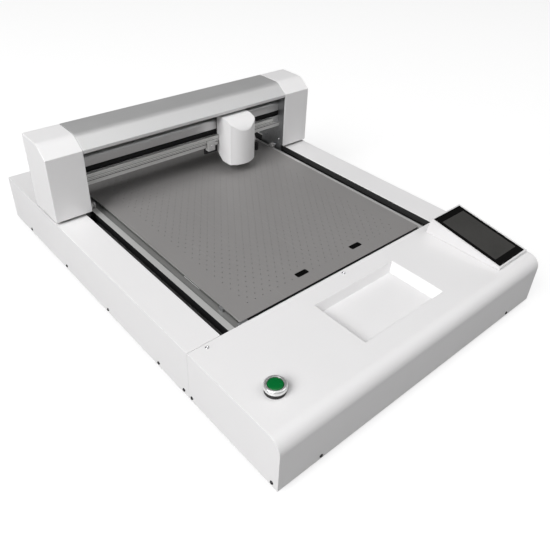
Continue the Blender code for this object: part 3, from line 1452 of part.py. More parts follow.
def build_carriage():
    moving = frame("carriage_frame", (CARRIAGE_X, CARRIAGE_Y, DECK))
    pieces = [carriage_plate(), carriage_cover(), carriage_wheel(), glide_pad(), lift_motor()]
    pieces.append(camera_module())
    attach(moving, *pieces)


def build_tool():
    moving = frame("tool_frame", (CARRIAGE_X, TOOL_Y, BED_TOP))
    attach(moving, tool_slide(), blade_holder(), blade())


clear_scene()
build_body()
build_gantry()
build_carriage()
build_tool()
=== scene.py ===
# %% [markdown]
# # A flatbed vinyl cutter
# A flatbed vinyl cutter holds a sheet flat with suction and draws a small swivelling knife
# over it. A gantry rolls along two rails, a carriage slides along the gantry, and the knife
# rides in the carriage. The solid model fixes every size and every joint, so this lesson
# only loads it and gives it light, finishes, soft edges and small fittings.

# %% Load the solid model
import json
import math

import bmesh
import bpy
from mathutils import Matrix, Vector, geometry, kdtree

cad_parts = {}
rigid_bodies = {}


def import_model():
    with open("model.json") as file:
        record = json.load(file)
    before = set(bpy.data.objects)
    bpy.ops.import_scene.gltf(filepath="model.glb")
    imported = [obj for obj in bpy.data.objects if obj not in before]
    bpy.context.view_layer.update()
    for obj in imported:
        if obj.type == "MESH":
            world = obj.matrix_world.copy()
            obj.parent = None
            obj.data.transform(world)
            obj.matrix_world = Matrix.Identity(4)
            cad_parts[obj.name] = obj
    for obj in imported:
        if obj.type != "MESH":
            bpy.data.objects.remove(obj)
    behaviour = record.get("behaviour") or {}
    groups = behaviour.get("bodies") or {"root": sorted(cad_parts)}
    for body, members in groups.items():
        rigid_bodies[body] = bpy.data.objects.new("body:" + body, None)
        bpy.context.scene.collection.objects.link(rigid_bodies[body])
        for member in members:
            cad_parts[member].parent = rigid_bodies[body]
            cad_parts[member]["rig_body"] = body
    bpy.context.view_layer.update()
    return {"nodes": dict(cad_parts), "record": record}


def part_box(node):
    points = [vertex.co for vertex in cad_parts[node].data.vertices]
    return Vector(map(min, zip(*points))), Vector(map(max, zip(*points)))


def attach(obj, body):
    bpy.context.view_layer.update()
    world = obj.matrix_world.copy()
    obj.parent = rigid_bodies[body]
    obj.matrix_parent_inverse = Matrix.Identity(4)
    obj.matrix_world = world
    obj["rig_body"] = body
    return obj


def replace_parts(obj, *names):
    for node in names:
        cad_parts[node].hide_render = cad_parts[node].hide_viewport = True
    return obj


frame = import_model()
nodes = frame["nodes"]
slot_of = {row["node"]: row["material_slot"] for row in frame["record"]["subparts"]}

# %% [markdown]
# ## Camera
# The camera comes first, because every finish is judged through it. It looks down over the
# front left corner, and a small shift of the lens centres the machine without tilting the
# camera, so that upright edges keep their slant.

# %% Place the camera
CAMERA_PLACE = Vector((-0.59996, -0.70918, 0.67355))
CAMERA_RIGHT = Vector((0.7540, -0.6558, 0.0376))
CAMERA_UP = Vector((0.3525, 0.4522, 0.8193))
CAMERA_BACK = Vector((-0.5544, -0.6045, 0.5721))

camera_data = bpy.data.cameras.new("portrait_camera")
camera_data.sensor_width = 36.0
camera_data.lens = 38.36
camera_data.shift_x = 0.0031
camera_data.shift_y = -0.0471
camera = bpy.data.objects.new("portrait_camera", camera_data)
bpy.context.scene.collection.objects.link(camera)
turn = Matrix((CAMERA_RIGHT, CAMERA_UP, CAMERA_BACK)).transposed()
camera.matrix_world = Matrix.Translation(CAMERA_PLACE) @ turn.to_4x4()
bpy.context.scene.camera = camera
print("camera stands", round(CAMERA_PLACE.length, 3), "m from the middle of the footprint")

# %% [markdown]
# ## Shader building blocks
# A material is a small network of nodes. A few short helpers keep that network readable:
# they place a node and wire its inputs, place a node group, or start a new group with named
# sockets. An effect that several finishes share is a group, so that it is built once and
# tuned wherever it is used.


# %% Helpers that place nodes
def wire(tree, node, inputs):
    """Links each input to a socket, or sets its value."""
    for key, value in inputs.items():
        if isinstance(value, bpy.types.NodeSocket):
            tree.links.new(value, node.inputs[key])
        else:
            node.inputs[key].default_value = value
    return node


def place(tree, kind, inputs=None, **settings):
    node = tree.nodes.new(kind)
    for key, value in settings.items():
        setattr(node, key, value)
    return wire(tree, node, inputs or {})


def place_group(tree, group, inputs):
    return wire(tree, place(tree, "ShaderNodeGroup", node_tree=group), inputs)


def math_node(tree, operation, *values, clamp=False):
    node = place(tree, "ShaderNodeMath", dict(enumerate(values)), operation=operation)
    node.use_clamp = clamp
    return node.outputs[0]


def mix_colour(tree, factor, first, second, blend="MIX"):
    inputs = {0: factor, 6: first, 7: second}
    return place(tree, "ShaderNodeMix", inputs, data_type="RGBA", blend_type=blend).outputs[2]


# %% Helper that starts a node group
SOCKETS = {"value": "NodeSocketFloat", "vector": "NodeSocketVector", "colour": "NodeSocketColor"}


def start_group(name, inputs, outputs):
    """A new group, the node that holds its inputs and the node that takes its outputs."""
    group = bpy.data.node_groups.new(name, "ShaderNodeTree")
    for label, kind, value in inputs:
        socket = group.interface.new_socket(label, in_out="INPUT", socket_type=SOCKETS[kind])
        socket.default_value = value
    for label, kind in outputs:
        group.interface.new_socket(label, in_out="OUTPUT", socket_type=SOCKETS[kind])
    return group, place(group, "NodeGroupInput"), place(group, "NodeGroupOutput")


print("shader helpers ready")

# %% [markdown]
# ## Floor and light
# White machines need gentle light: a broad softbox high on the left brightens the top and
# the left side and leaves the front in soft shade. Two weaker ones, overhead and high on the
# right, lift the deck and the slope of the beam cover. Area lights were chosen over a sun,
# because their size sets how soft the shadows are. The floor is dull, so that it throws
# little light back on the front, and glows only for the camera, which keeps it pale.

# %% Lay the floor
FLOOR_SIZE = 30.0
FLOOR_GREY = (0.34, 0.34, 0.34, 1.0)
FLOOR_GLOW = 0.72
floor_mesh = bpy.data.meshes.new("floor")
half = FLOOR_SIZE / 2
floor_corners = [(-half, -half, 0.0), (half, -half, 0.0), (half, half, 0.0), (-half, half, 0.0)]
floor_mesh.from_pydata(floor_corners, [], [(0, 1, 2, 3)])
floor = bpy.data.objects.new("floor", floor_mesh)
bpy.context.scene.collection.objects.link(floor)
floor_look = bpy.data.materials.new("pale_floor")
floor_look.use_nodes = True
floor_tree = floor_look.node_tree
seen_directly = place(floor_tree, "ShaderNodeLightPath").outputs["Is Camera Ray"]
wire(floor_tree, floor_tree.nodes["Principled BSDF"],
     {"Base Color": FLOOR_GREY, "Roughness": 0.9, "Specular IOR Level": 0.1,
      "Emission Color": (1.0, 1.0, 1.0, 1.0),
      "Emission Strength": math_node(floor_tree, "MULTIPLY", seen_directly, FLOOR_GLOW)})
floor_mesh.materials.append(floor_look)
print("floor laid at z = 0")


# %% Hang the lights
MACHINE_MIDDLE = Vector((0.0, 0.0, 0.1))


def softbox(name, spot, size, watts):
    """A square lamp that faces the machine."""
    lamp = bpy.data.lights.new(name, "AREA")
    lamp.shape = "SQUARE"
    lamp.size = size
    lamp.energy = watts
    holder = bpy.data.objects.new(name, lamp)
    holder.location = spot
    holder.rotation_euler = (MACHINE_MIDDLE - Vector(spot)).to_track_quat("-Z", "Y").to_euler()
    bpy.context.scene.collection.objects.link(holder)


softbox("left_softbox", (-4.1, -0.7, 3.5), 3.4, 285.0)
softbox("top_softbox", (0.4, -0.4, 5.4), 2.8, 40.0)
softbox("slope_softbox", (2.9, -2.5, 3.7), 3.0, 46.0)
bpy.context.scene.view_settings.view_transform = "Standard"
print("three softboxes hung")

# %% [markdown]
# ## Sky
# Bare metal and glass show whatever they mirror, so an even sky would leave them flat. This
# one is pale all round with one darker patch, high behind the machine, which gives the
# aluminium its contrast and keeps the screen black.

# %% Paint the sky
SKY_PALE = (0.26, 0.26, 0.26, 1.0)
SKY_DARK = (0.05, 0.05, 0.05, 1.0)
DARK_SIDE = Vector((0.54, 0.62, 0.57)).normalized()
sky = bpy.data.worlds.new("pale_sky")
sky.use_nodes = True
sky_tree = sky.node_tree
looking = place(sky_tree, "ShaderNodeTexCoord").outputs["Generated"]
towards = place(sky_tree, "ShaderNodeVectorMath", {0: looking, 1: DARK_SIDE},
                operation="DOT_PRODUCT").outputs["Value"]
patch = place(sky_tree, "ShaderNodeMapRange",
              {"Value": towards, "From Min": 0.55, "From Max": 0.93}).outputs["Result"]
wire(sky_tree, sky_tree.nodes["Background"],
     {"Color": mix_colour(sky_tree, patch, SKY_PALE, SKY_DARK), "Strength": 1.0})
bpy.context.scene.world = sky
print("sky painted with a dark patch towards", [round(part, 2) for part in DARK_SIDE])

# %% [markdown]
# ## Grain
# Powder coat, moulded plastic, extruded aluminium and turned steel all have a fine relief.
# One noise texture makes them all: stretched along one axis it becomes the lines of an
# extrusion or a lathe tool, and left even it becomes orange peel. A second, far slower
# noise gives the faint patches that keep a large panel from looking flat.


# %% Node group: grain
def grain_group():
    inputs = [("Scale", "value", 900.0), ("Stretch", "vector", (1.0, 1.0, 1.0)),
              ("Patch Scale", "value", 9.0)]
    outputs = [("Height", "value"), ("Patches", "value")]
    group, source, sink = start_group("grain", inputs, outputs)
    where = place(group, "ShaderNodeTexCoord").outputs["Object"]
    stretched = place(group, "ShaderNodeVectorMath",
                      {0: where, 1: source.outputs["Stretch"]}, operation="MULTIPLY")
    fine = place(group, "ShaderNodeTexNoise",
                 {"Vector": stretched.outputs[0], "Scale": source.outputs["Scale"],
                  "Detail": 2.0, "Roughness": 0.6})
    slow = place(group, "ShaderNodeTexNoise",
                 {"Vector": where, "Scale": source.outputs["Patch Scale"], "Detail": 4.0})
    wire(group, sink, {"Height": fine.outputs["Fac"], "Patches": slow.outputs["Fac"]})
    return group


GRAIN = grain_group()
print("group:", GRAIN.name)

# %% [markdown]
# ## Edge wear
# Corners are touched, bumped and polished more than flats. The Bevel node looks a short way
# around each point and returns the normal that a rounded edge would have, so where it
# differs from the true normal there is an edge. Noise breaks the band up, because real wear
# comes in patches.


# %% Node group: edge wear
def edge_wear_group():
    inputs = [("Radius", "value", 0.0015), ("Contrast", "value", 5.0),
              ("Patch Scale", "value", 60.0)]
    group, source, sink = start_group("edge_wear", inputs, [("Mask", "value")])
    round_normal = place(group, "ShaderNodeBevel", {"Radius": source.outputs["Radius"]}, samples=4)
    true_normal = place(group, "ShaderNodeNewGeometry").outputs["Normal"]
    same = place(group, "ShaderNodeVectorMath", {0: round_normal.outputs[0], 1: true_normal},
                 operation="DOT_PRODUCT").outputs["Value"]
    edge = math_node(group, "SUBTRACT", 1.0, same)
    where = place(group, "ShaderNodeTexCoord").outputs["Object"]
    patches = place(group, "ShaderNodeTexNoise",
                    {"Vector": where, "Scale": source.outputs["Patch Scale"], "Detail": 5.0})
    broken = math_node(group, "MULTIPLY", edge, patches.outputs["Fac"])
    strong = math_node(group, "MULTIPLY", broken, source.outputs["Contrast"], clamp=True)
    wire(group, sink, {"Mask": strong})
    return group


EDGE_WEAR = edge_wear_group()
print("group:", EDGE_WEAR.name)

# %% [markdown]
# ## Dust and handling
# Dust settles only where a surface faces up, so its mask is the upward part of the normal
# broken up by noise. Handling leaves slightly shinier and duller areas, which is a slow noise
# mapped between two roughness values.


# %% Node groups: settled dust and handling
def settled_dust_group():
    inputs = [("Amount", "value", 0.15), ("Speck Scale", "value", 420.0)]
    group, source, sink = start_group("settled_dust", inputs, [("Mask", "value")])
    normal = place(group, "ShaderNodeNewGeometry").outputs["Normal"]
    upward = place(group, "ShaderNodeSeparateXYZ", {0: normal}).outputs["Z"]
    facing = math_node(group, "POWER", math_node(group, "MAXIMUM", upward, 0.0), 3.0)
    where = place(group, "ShaderNodeTexCoord").outputs["Object"]
    specks = place(group, "ShaderNodeTexNoise",
                   {"Vector": where, "Scale": source.outputs["Speck Scale"], "Detail": 6.0,
                    "Roughness": 0.75}).outputs["Fac"]
    sharp = place(group, "ShaderNodeMapRange",
                  {"Value": specks, "From Min": 0.45, "From Max": 0.75}).outputs["Result"]
    lying = math_node(group, "MULTIPLY", sharp, facing)
    wire(group, sink, {"Mask": math_node(group, "MULTIPLY", lying, source.outputs["Amount"])})
    return group


def handling_group():
    inputs = [("Smooth", "value", 0.35), ("Dull", "value", 0.5), ("Scale", "value", 22.0)]
    group, source, sink = start_group("handling", inputs, [("Roughness", "value")])
    where = place(group, "ShaderNodeTexCoord").outputs["Object"]
    smears = place(group, "ShaderNodeTexNoise",
                   {"Vector": where, "Scale": source.outputs["Scale"], "Detail": 5.0,
                    "Distortion": 0.6}).outputs["Fac"]
    ranged = place(group, "ShaderNodeMapRange",
                   {"Value": smears, "From Min": 0.3, "From Max": 0.7,
                    "To Min": source.outputs["Smooth"], "To Max": source.outputs["Dull"]})
    wire(group, sink, {"Roughness": ranged.outputs["Result"]})
    return group


SETTLED_DUST = settled_dust_group()
HANDLING = handling_group()
print("groups:", SETTLED_DUST.name, HANDLING.name)

# %% [markdown]
# ## A finish made of layers
# Most finishes here are the same sandwich: a base colour with faint patches, a worn colour on
# the edges, dust on top, grain in the bump and handling in the roughness. One function lays
# those layers, and each finish gives its own colours and amounts. Values that are the same
# all over are set straight on the shader.

# %% Lay the layers of a finish
DUST_COLOUR = (0.55, 0.53, 0.50, 1.0)


def shader_of(look):
    return look.node_tree.nodes["Principled BSDF"]


def overlay(look, mask, colour):
    """Lays one more colour over a finish, through a mask."""
    under = shader_of(look).inputs["Base Color"].links[0].from_socket
    shade = mix_colour(look.node_tree, mask, under, (*colour, 1.0))
    wire(look.node_tree, shader_of(look), {"Base Color": shade})


def tint(colour, factor):
    return (*(min(1.0, part * factor) for part in colour), 1.0)


def layered(name, colour, roughness, grain=(900.0, 0.00003), stretch=(1.0, 1.0, 1.0),
            patches=0.06, wear=None, dust=0.10, wear_radius=0.0015, wear_contrast=4.0, **uniform):
    """A finish with patches, worn edges, dust, grain and handling marks."""
    look = bpy.data.materials.new(name)
    look.use_nodes = True
    tree = look.node_tree
    shader = shader_of(look)
    for label, value in uniform.items():
        shader.inputs[label.replace("_", " ")].default_value = value
    relief = place_group(tree, GRAIN, {"Scale": grain[0], "Stretch": stretch})
    shade = mix_colour(tree, relief.outputs["Patches"], tint(colour, 1.0 - patches),
                       tint(colour, 1.0 + patches))
    if wear:
        band = place_group(tree, EDGE_WEAR, {"Radius": wear_radius, "Contrast": wear_contrast})
        shade = mix_colour(tree, band.outputs["Mask"], shade, (*wear, 1.0))
    settled = place_group(tree, SETTLED_DUST, {"Amount": dust})
    shade = mix_colour(tree, settled.outputs["Mask"], shade, DUST_COLOUR)
    marks = place_group(tree, HANDLING, {"Smooth": roughness[0], "Dull": roughness[1]})
    bump = place(tree, "ShaderNodeBump", {"Height": relief.outputs["Height"], "Strength": 1.0,
                                          "Distance": grain[1]})
    wire(tree, shader, {"Base Color": shade, "Roughness": marks.outputs["Roughness"],
                        "Normal": bump.outputs["Normal"]})
    return look


print("layered finishes ready")

# %% [markdown]
# ### Painted and moulded whites
# The body is folded sheet steel under a fine white powder coat, which cures with a slight
# orange peel and looks a little greyer where an edge has rubbed. The gantry ends, the
# carriage cover and the screen housing are moulded: whiter, smoother and a little glossier.

# %% White finishes
powder_coat = layered("powder_coat", (0.800, 0.793, 0.797), (0.40, 0.50), grain=(620.0, 0.000035),
                      patches=0.02, wear=(0.62, 0.62, 0.60), dust=0.06, wear_contrast=2.2)
white_plastic = layered("white_moulding", (0.840, 0.833, 0.836), (0.28, 0.38),
                        grain=(1700.0, 0.000012), patches=0.015, wear=(0.70, 0.70, 0.68),
                        dust=0.05, wear_radius=0.001, wear_contrast=1.8)
screen_white = layered("screen_moulding", (0.745, 0.738, 0.741), (0.34, 0.44),
                       grain=(1700.0, 0.000012), patches=0.015, wear=(0.62, 0.62, 0.60),
                       dust=0.04, wear_radius=0.001, wear_contrast=1.8)
print("whites:", powder_coat.name, white_plastic.name, screen_white.name)

# %% [markdown]
# ### Metals
# Extruded aluminium carries fine lines along its length, so its noise is squeezed across the
# run and drawn out along it. Turned steel has tighter lines. Zinc plate shows pale crystals,
# and the satin chrome ring only shows faint smears. Anodised pieces are partly metallic,
# because the layer on them scatters light as paint does.

# %% Metal finishes
ALONG_X = (0.02, 1.0, 1.0)
ALONG_Y = (1.0, 0.02, 1.0)
ALONG_Z = (1.0, 1.0, 0.02)
POLISHED = (0.80, 0.80, 0.80)


def bare_extrusion(name, stretch):
    return layered(name, (0.60, 0.60, 0.60), (0.30, 0.42), grain=(2400.0, 0.00002),
                   stretch=stretch, patches=0.05, wear=POLISHED, Metallic=1.0)


def anodised_extrusion(name, stretch, metallic):
    return layered(name, (0.62, 0.62, 0.61), (0.34, 0.42), grain=(2400.0, 0.000012),
                   stretch=stretch, patches=0.04, wear=POLISHED, Metallic=metallic)


aluminium_y = bare_extrusion("aluminium_along_rail", ALONG_Y)
aluminium_x = bare_extrusion("aluminium_along_beam", ALONG_X)
pale_extrusion = anodised_extrusion("pale_extrusion", ALONG_X, 0.5)
pale_rail = anodised_extrusion("pale_rail", ALONG_Y, 0.4)
black_anodised = layered("black_anodised", (0.022, 0.022, 0.024), (0.34, 0.46),
                         grain=(2200.0, 0.00002), stretch=ALONG_Y, patches=0.10,
                         wear=(0.30, 0.30, 0.30), wear_contrast=2.5, Metallic=0.6)
satin_cover = layered("satin_anodised_cover", (0.74, 0.74, 0.74), (0.42, 0.48),
                      grain=(1500.0, 0.000006), stretch=ALONG_X, patches=0.02,
                      wear=POLISHED, dust=0.04, wear_contrast=2.0, Metallic=0.62)
# painted shade: a darker grey for the rail's ledge, down in the shaded slot
rail_ledge_painted_shade = layered("rail_ledge_painted_shade", (0.27, 0.27, 0.265), (0.40, 0.48),
                     grain=(2400.0, 0.000012), stretch=ALONG_Y, patches=0.05, Metallic=0.3)
grey_nylon = layered("grey_nylon", (0.46, 0.455, 0.45), (0.40, 0.52),
                     grain=(1500.0, 0.00001), patches=0.05, wear=(0.55, 0.55, 0.54),
                     wear_radius=0.0006)
turned_steel = layered("turned_steel", (0.58, 0.58, 0.59), (0.18, 0.30),
                       grain=(3000.0, 0.00001), stretch=ALONG_Z, patches=0.05,
                       wear=POLISHED, Metallic=1.0)
# black oxide for the screws; the same finish is also painted shade in the grooves and on the bed's
# front edge
black_oxide_and_painted_shade = layered("black_oxide_and_painted_shade", (0.025, 0.025, 0.027), (0.30, 0.42),
                      grain=(2500.0, 0.00001), patches=0.1, wear=(0.12, 0.12, 0.12),
                      wear_radius=0.0004, Metallic=0.5)
chrome = layered("satin_chrome_ring", (0.86, 0.86, 0.86), (0.24, 0.34),
                 grain=(300.0, 0.000004), patches=0.03, dust=0.02, Metallic=0.8)
print("metals:", aluminium_y.name, pale_rail.name, chrome.name)


# %% Zinc plate with its crystals
def zinc_plate():
    look = layered("zinc_plate", (0.52, 0.53, 0.54), (0.34, 0.50), grain=(900.0, 0.00001),
                   patches=0.08, wear=(0.68, 0.68, 0.68), Metallic=1.0)
    tree = look.node_tree
    where = place(tree, "ShaderNodeTexCoord").outputs["Object"]
    crystals = place(tree, "ShaderNodeTexVoronoi", {"Vector": where, "Scale": 190.0})
    pale = place(tree, "ShaderNodeSeparateColor", {0: crystals.outputs["Color"]}).outputs[0]
    overlay(look, math_node(tree, "MULTIPLY", pale, 0.22), (0.78, 0.79, 0.80))
    return look


zinc = zinc_plate()
print("zinc:", zinc.name)

# %% [markdown]
# ### The bed's grey
# The bed is drilled sheet under a grey anodised layer. It is dull and even, and years of
# knives have left it covered in hair-fine scratches. Each set of scratches is a noise drawn
# out along one direction, then cut so hard that only thin threads of it are left.


# %% Grey bed finish
def scratch_threads(tree, where, direction, scale):
    """A mask of thin threads that run along one direction."""
    turned = place(tree, "ShaderNodeMapping", {"Vector": where, "Rotation": (0.0, 0.0, direction),
                                               "Scale": (1.0, 0.012, 1.0)})
    threads = place(tree, "ShaderNodeTexNoise", {"Vector": turned.outputs[0], "Scale": scale,
                                                 "Detail": 2.0}).outputs["Fac"]
    return place(tree, "ShaderNodeMapRange", {"Value": threads, "From Min": 0.67,
                                              "From Max": 0.74}).outputs["Result"]


def bed_finish():
    look = layered("grey_anodised_bed", (0.266, 0.258, 0.255), (0.44, 0.52),
                   grain=(2600.0, 0.000010), patches=0.04, dust=0.03, Metallic=0.12)
    tree = look.node_tree
    where = place(tree, "ShaderNodeTexCoord").outputs["Object"]
    marks = scratch_threads(tree, where, 0.35, 420.0)
    for direction, scale in ((1.25, 360.0), (2.2, 510.0)):
        more = scratch_threads(tree, where, direction, scale)
        marks = math_node(tree, "MAXIMUM", marks, more)
    overlay(look, math_node(tree, "MULTIPLY", marks, 0.16), (0.40, 0.40, 0.39))
    return look


bed_grey = bed_finish()
print("bed:", bed_grey.name)

# %% [markdown]
# ### Plastics, rubber and glass
# Black mouldings have a spark-eroded texture that scatters light, rubber is duller still and
# holds dust, and the green button has a light sheen. The screen's cover glass is black from
# behind, so all that is seen of it is its polish and a few finger marks, and the panel
# behind it is a dark grey.

# %% Plastic, rubber and glass finishes
black_plastic = layered("black_moulding", (0.014, 0.014, 0.015), (0.46, 0.60),
                        grain=(1900.0, 0.00002), patches=0.12, wear=(0.04, 0.04, 0.04),
                        Specular_IOR_Level=0.3)
rubber = layered("black_rubber", (0.018, 0.018, 0.018), (0.70, 0.88), grain=(1300.0, 0.00003),
                 patches=0.15, wear=(0.05, 0.05, 0.05), dust=0.25)
black_belt = layered("black_belt", (0.010, 0.010, 0.010), (0.62, 0.76),
                     grain=(1300.0, 0.00003), patches=0.1, Specular_IOR_Level=0.2)
green_plastic = layered("green_button", (0.0, 0.135, 0.027), (0.20, 0.30),
                        grain=(1500.0, 0.000006), patches=0.05, wear=(0.01, 0.18, 0.05),
                        dust=0.01, Specular_IOR_Level=0.25, Coat_Weight=0.1, Coat_Roughness=0.08)
black_glass = layered("black_cover_glass", (0.002, 0.002, 0.002), (0.04, 0.13),
                      grain=(60.0, 0.0000015), patches=0.2, dust=0.01, Specular_IOR_Level=0.3)
display_grey = layered("display_behind_glass", (0.050, 0.049, 0.047), (0.10, 0.22),
                       grain=(60.0, 0.0000015), patches=0.35, dust=0.02, Specular_IOR_Level=0.3)
print("plastics:", black_plastic.name, green_plastic.name, black_glass.name)

# %% [markdown]
# ### Circuit board
# A board is green solder mask over copper traces, with black and silver parts on top. The
# whole board is one solid, so height tells the mask from the parts, and a brick pattern cut
# to thin lines stands in for traces.

# %% Circuit board finish
BOARD_THICKNESS = 0.0022


def board_finish():
    look = layered("solder_mask", (0.008, 0.10, 0.035), (0.25, 0.38), grain=(900.0, 0.000015),
                   patches=0.12, wear=(0.25, 0.20, 0.08), wear_radius=0.0006)
    tree = look.node_tree
    where = place(tree, "ShaderNodeTexCoord").outputs["Object"]
    traces = place(tree, "ShaderNodeTexBrick",
                   {"Vector": where, "Scale": 190.0, "Mortar Size": 0.06,
                    "Color1": (0.0, 0.0, 0.0, 1.0), "Color2": (0.0, 0.0, 0.0, 1.0),
                    "Mortar": (1.0, 1.0, 1.0, 1.0)}).outputs["Color"]
    overlay(look, traces, (0.02, 0.20, 0.07))
    height = place(tree, "ShaderNodeSeparateXYZ", {0: where}).outputs["Z"]
    mask_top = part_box("control_board")[0].z + BOARD_THICKNESS
    overlay(look, math_node(tree, "GREATER_THAN", height, mask_top), (0.03, 0.03, 0.03))
    return look


solder_mask = board_finish()
print("board:", solder_mask.name)

# %% [markdown]
# ## Which finish goes where
# The record names a material slot for every solid. One table turns those slots into
# finishes, and a few solids have their own, because their grain runs another way or
# because the piece is paler or blacker than the rest of its kind.

# %% Assign the finishes
FINISH_OF_SLOT = {
    "powder_coat": powder_coat, "white_plastic": white_plastic, "aluminium": aluminium_y,
    "anodised_grey": bed_grey, "black_anodised": black_anodised, "steel": turned_steel,
    "zinc_sheet": zinc, "chrome": chrome, "rubber": rubber, "black_plastic": black_plastic,
    "green_plastic": green_plastic, "black_glass": black_glass, "circuit_board": solder_mask,
}
FINISH_OF_NODE = {
    "beam_cover": satin_cover, "gantry_beam": aluminium_x, "x_rail": pale_extrusion,
    "left_y_rail": pale_rail, "right_y_rail": pale_rail, "left_guide_roller": grey_nylon,
    "right_guide_roller": grey_nylon, "carriage_wheel": grey_nylon, "glide_pad": grey_nylon,
    "x_belt": black_belt, "display_housing": screen_white,
}


def finish_of(node):
    return FINISH_OF_NODE.get(node) or FINISH_OF_SLOT[slot_of[node]]


for name, solid in nodes.items():
    solid.data.materials.clear()
    solid.data.materials.append(finish_of(name))
print("finished", len(nodes), "solids")

# %% [markdown]
# ## Soft edges
# Nothing that is folded, moulded or milled has a perfectly sharp edge, and a rounded edge
# catches a thin line of light. A solid's mesh may not be changed, so each one that shows is
# copied, its flat faces are joined up, and a Bevel modifier rounds every sharp edge inwards.
# The copy then stands in for the solid and moves with the same body.

# %% Helpers for a piece
WELD_REACH = 2e-6
FLAT_ANGLE = math.radians(0.4)
SHARP_ANGLE = math.radians(28.0)


def new_piece(name, mesh):
    """Turns a bmesh into an object in the scene, and frees the bmesh."""
    data = bpy.data.meshes.new(name)
    mesh.to_mesh(data)
    mesh.free()
    piece = bpy.data.objects.new(name, data)
    bpy.context.scene.collection.objects.link(piece)
    return piece


def soften(piece, width, segments=3):
    """Rounds the sharp edges and shades the rest smoothly; the modifiers are then applied."""
    piece.data.shade_smooth()
    bevel = piece.modifiers.new("rounded_edges", "BEVEL")
    bevel.width = width
    bevel.segments = segments
    bevel.limit_method = "ANGLE"
    bevel.angle_limit = SHARP_ANGLE
    bevel.harden_normals = True
    shading = piece.modifiers.new("flat_faces", "WEIGHTED_NORMAL")
    shading.keep_sharp = True
    bpy.context.view_layer.update()
    seen = piece.evaluated_get(bpy.context.evaluated_depsgraph_get())
    rounded = bpy.data.meshes.new_from_object(seen)
    piece.modifiers.clear()
    old = piece.data
    piece.data = rounded
    bpy.data.meshes.remove(old)
    rounded.name = piece.name
    return piece


def settle(piece, body, look):
    """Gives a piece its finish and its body."""
    piece.data.materials.clear()
    piece.data.materials.append(look)
    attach(piece, body)
    return piece


def stand_for(piece, node):
    """The piece takes the place of a solid, on the same body."""
    settle(piece, nodes[node]["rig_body"], finish_of(node))
    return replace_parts(piece, node)


# %% Copy a solid and round its edges
def merged_copy(node):
    mesh = bmesh.new()
    mesh.from_mesh(nodes[node].data)
    bmesh.ops.remove_doubles(mesh, verts=mesh.verts, dist=WELD_REACH)
    return mesh


def rounded_copy(node, width):
    mesh = merged_copy(node)
    bmesh.ops.dissolve_limit(mesh, angle_limit=FLAT_ANGLE, verts=mesh.verts, edges=mesh.edges)
    return stand_for(soften(new_piece(node + "_rounded", mesh), width), node)


EDGE_WIDTHS = {
    "front_cover": 0.0006, "left_side_cover": 0.0006, "right_side_cover": 0.0006,
    "rear_cover": 0.0006, "beam_cover": 0.0006, "left_gantry_cap": 0.0010,
    "right_gantry_cap": 0.0010, "carriage_cover": 0.0008, "display_housing": 0.0010,
    "touch_screen": 0.0004, "left_y_rail": 0.0003, "right_y_rail": 0.0003,
    "gantry_beam": 0.0004, "left_end_plate": 0.0004, "right_end_plate": 0.0004,
    "carriage_plate": 0.0004, "glide_pad": 0.0006, "tool_slide": 0.0005, "x_rail": 0.0002,
    "power_inlet": 0.0004, "power_switch": 0.0004, "data_port": 0.0002, "base_pan": 0.0004,
    "lift_motor": 0.0005, "camera_module": 0.0003, "left_y_motor": 0.0006,
    "right_y_motor": 0.0006, "x_motor": 0.0006, "power_supply": 0.0005,
    "left_rail_block": 0.0005, "right_rail_block": 0.0005, "vacuum_blower": 0.0005,
}
rounded = {name: rounded_copy(name, width) for name, width in EDGE_WIDTHS.items()}
print("rounded", len(rounded), "solids")

# %% [markdown]
# ## Painted shade in the slots
# The two slots beside the bed lie in deep shade, and that shade is painted on. The folded lips
# of the covers are painted black as shade, and so is the rail's outer flank, so no white or
# silver shows down there. The rail's lower ledge is painted a darker grey than its top as the
# slot's shade, and the part of the carriage plate that hangs below the beam is painted black as
# the shadow under the beam. All of these are faces of pieces that exist already, so they only
# need one more material slot, and the faces are picked by where they are and the way that they
# look.

# %% Paint shade onto the flanks of the slots
LIP_SHADE_DROP = 0.0009
LIP_REACH = 0.004
LEDGE_DROP = 0.002
FACES_THAT_WAY = 0.6
body_low, body_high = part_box("front_cover")
beam_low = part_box("gantry_beam")[0]


def second_finish(piece, look, picks):
    """Gives another finish to the faces that a test picks."""
    piece.data.materials.append(look)
    for face in piece.data.polygons:
        if picks(face):
            face.material_index = len(piece.data.materials) - 1


for hand, way in (("left", 1.0), ("right", -1.0)):
    lip_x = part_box(hand + "_side_cover")[1 if way > 0 else 0].x
    # painted shade: the cover's folded lip takes the black rubber finish
    second_finish(rounded[hand + "_side_cover"], rubber,
                  lambda face: face.center.z < body_high.z - LIP_SHADE_DROP
                  and abs(face.center.x - lip_x) < LIP_REACH)
    # painted shade: the rail's outer flank takes the black moulding finish
    second_finish(rounded[hand + "_y_rail"], black_plastic,
                  lambda face: face.normal.x * way < -FACES_THAT_WAY)
    rail_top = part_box(hand + "_y_rail")[1].z
    # painted shade: the rail's lower ledge takes the darker grey
    second_finish(rounded[hand + "_y_rail"], rail_ledge_painted_shade,
                  lambda face: face.normal.z > FACES_THAT_WAY
                  and face.center.z < rail_top - LEDGE_DROP)
# painted shadow: the carriage plate below the beam takes the black anodised finish
second_finish(rounded["carriage_plate"], black_anodised, lambda face: face.center.z < beam_low.z)
print("slots darkened")

# %% [markdown]
# ## Grooves along the beam
# The lower front of the beam is an extrusion with fine grooves that run its whole length and
# look like dark lines, the shade inside them. The faces are cut along each line's two edges,
# and the strip between them is painted dark as that shade. The slot that the belt runs in is
# painted black inside as its shade.

# %% Paint shade into the grooves
RAIL_GROOVES = (0.0022, 0.0056)
RAIL_GROOVE_WIDTH = 0.0006
LIP_GROOVE = -0.0016
LIP_GROOVE_WIDTH = 0.0012
SLOT_HEIGHTS = (-0.0005, 0.0125)
SLOT_DEPTHS = (0.0065, 0.030)


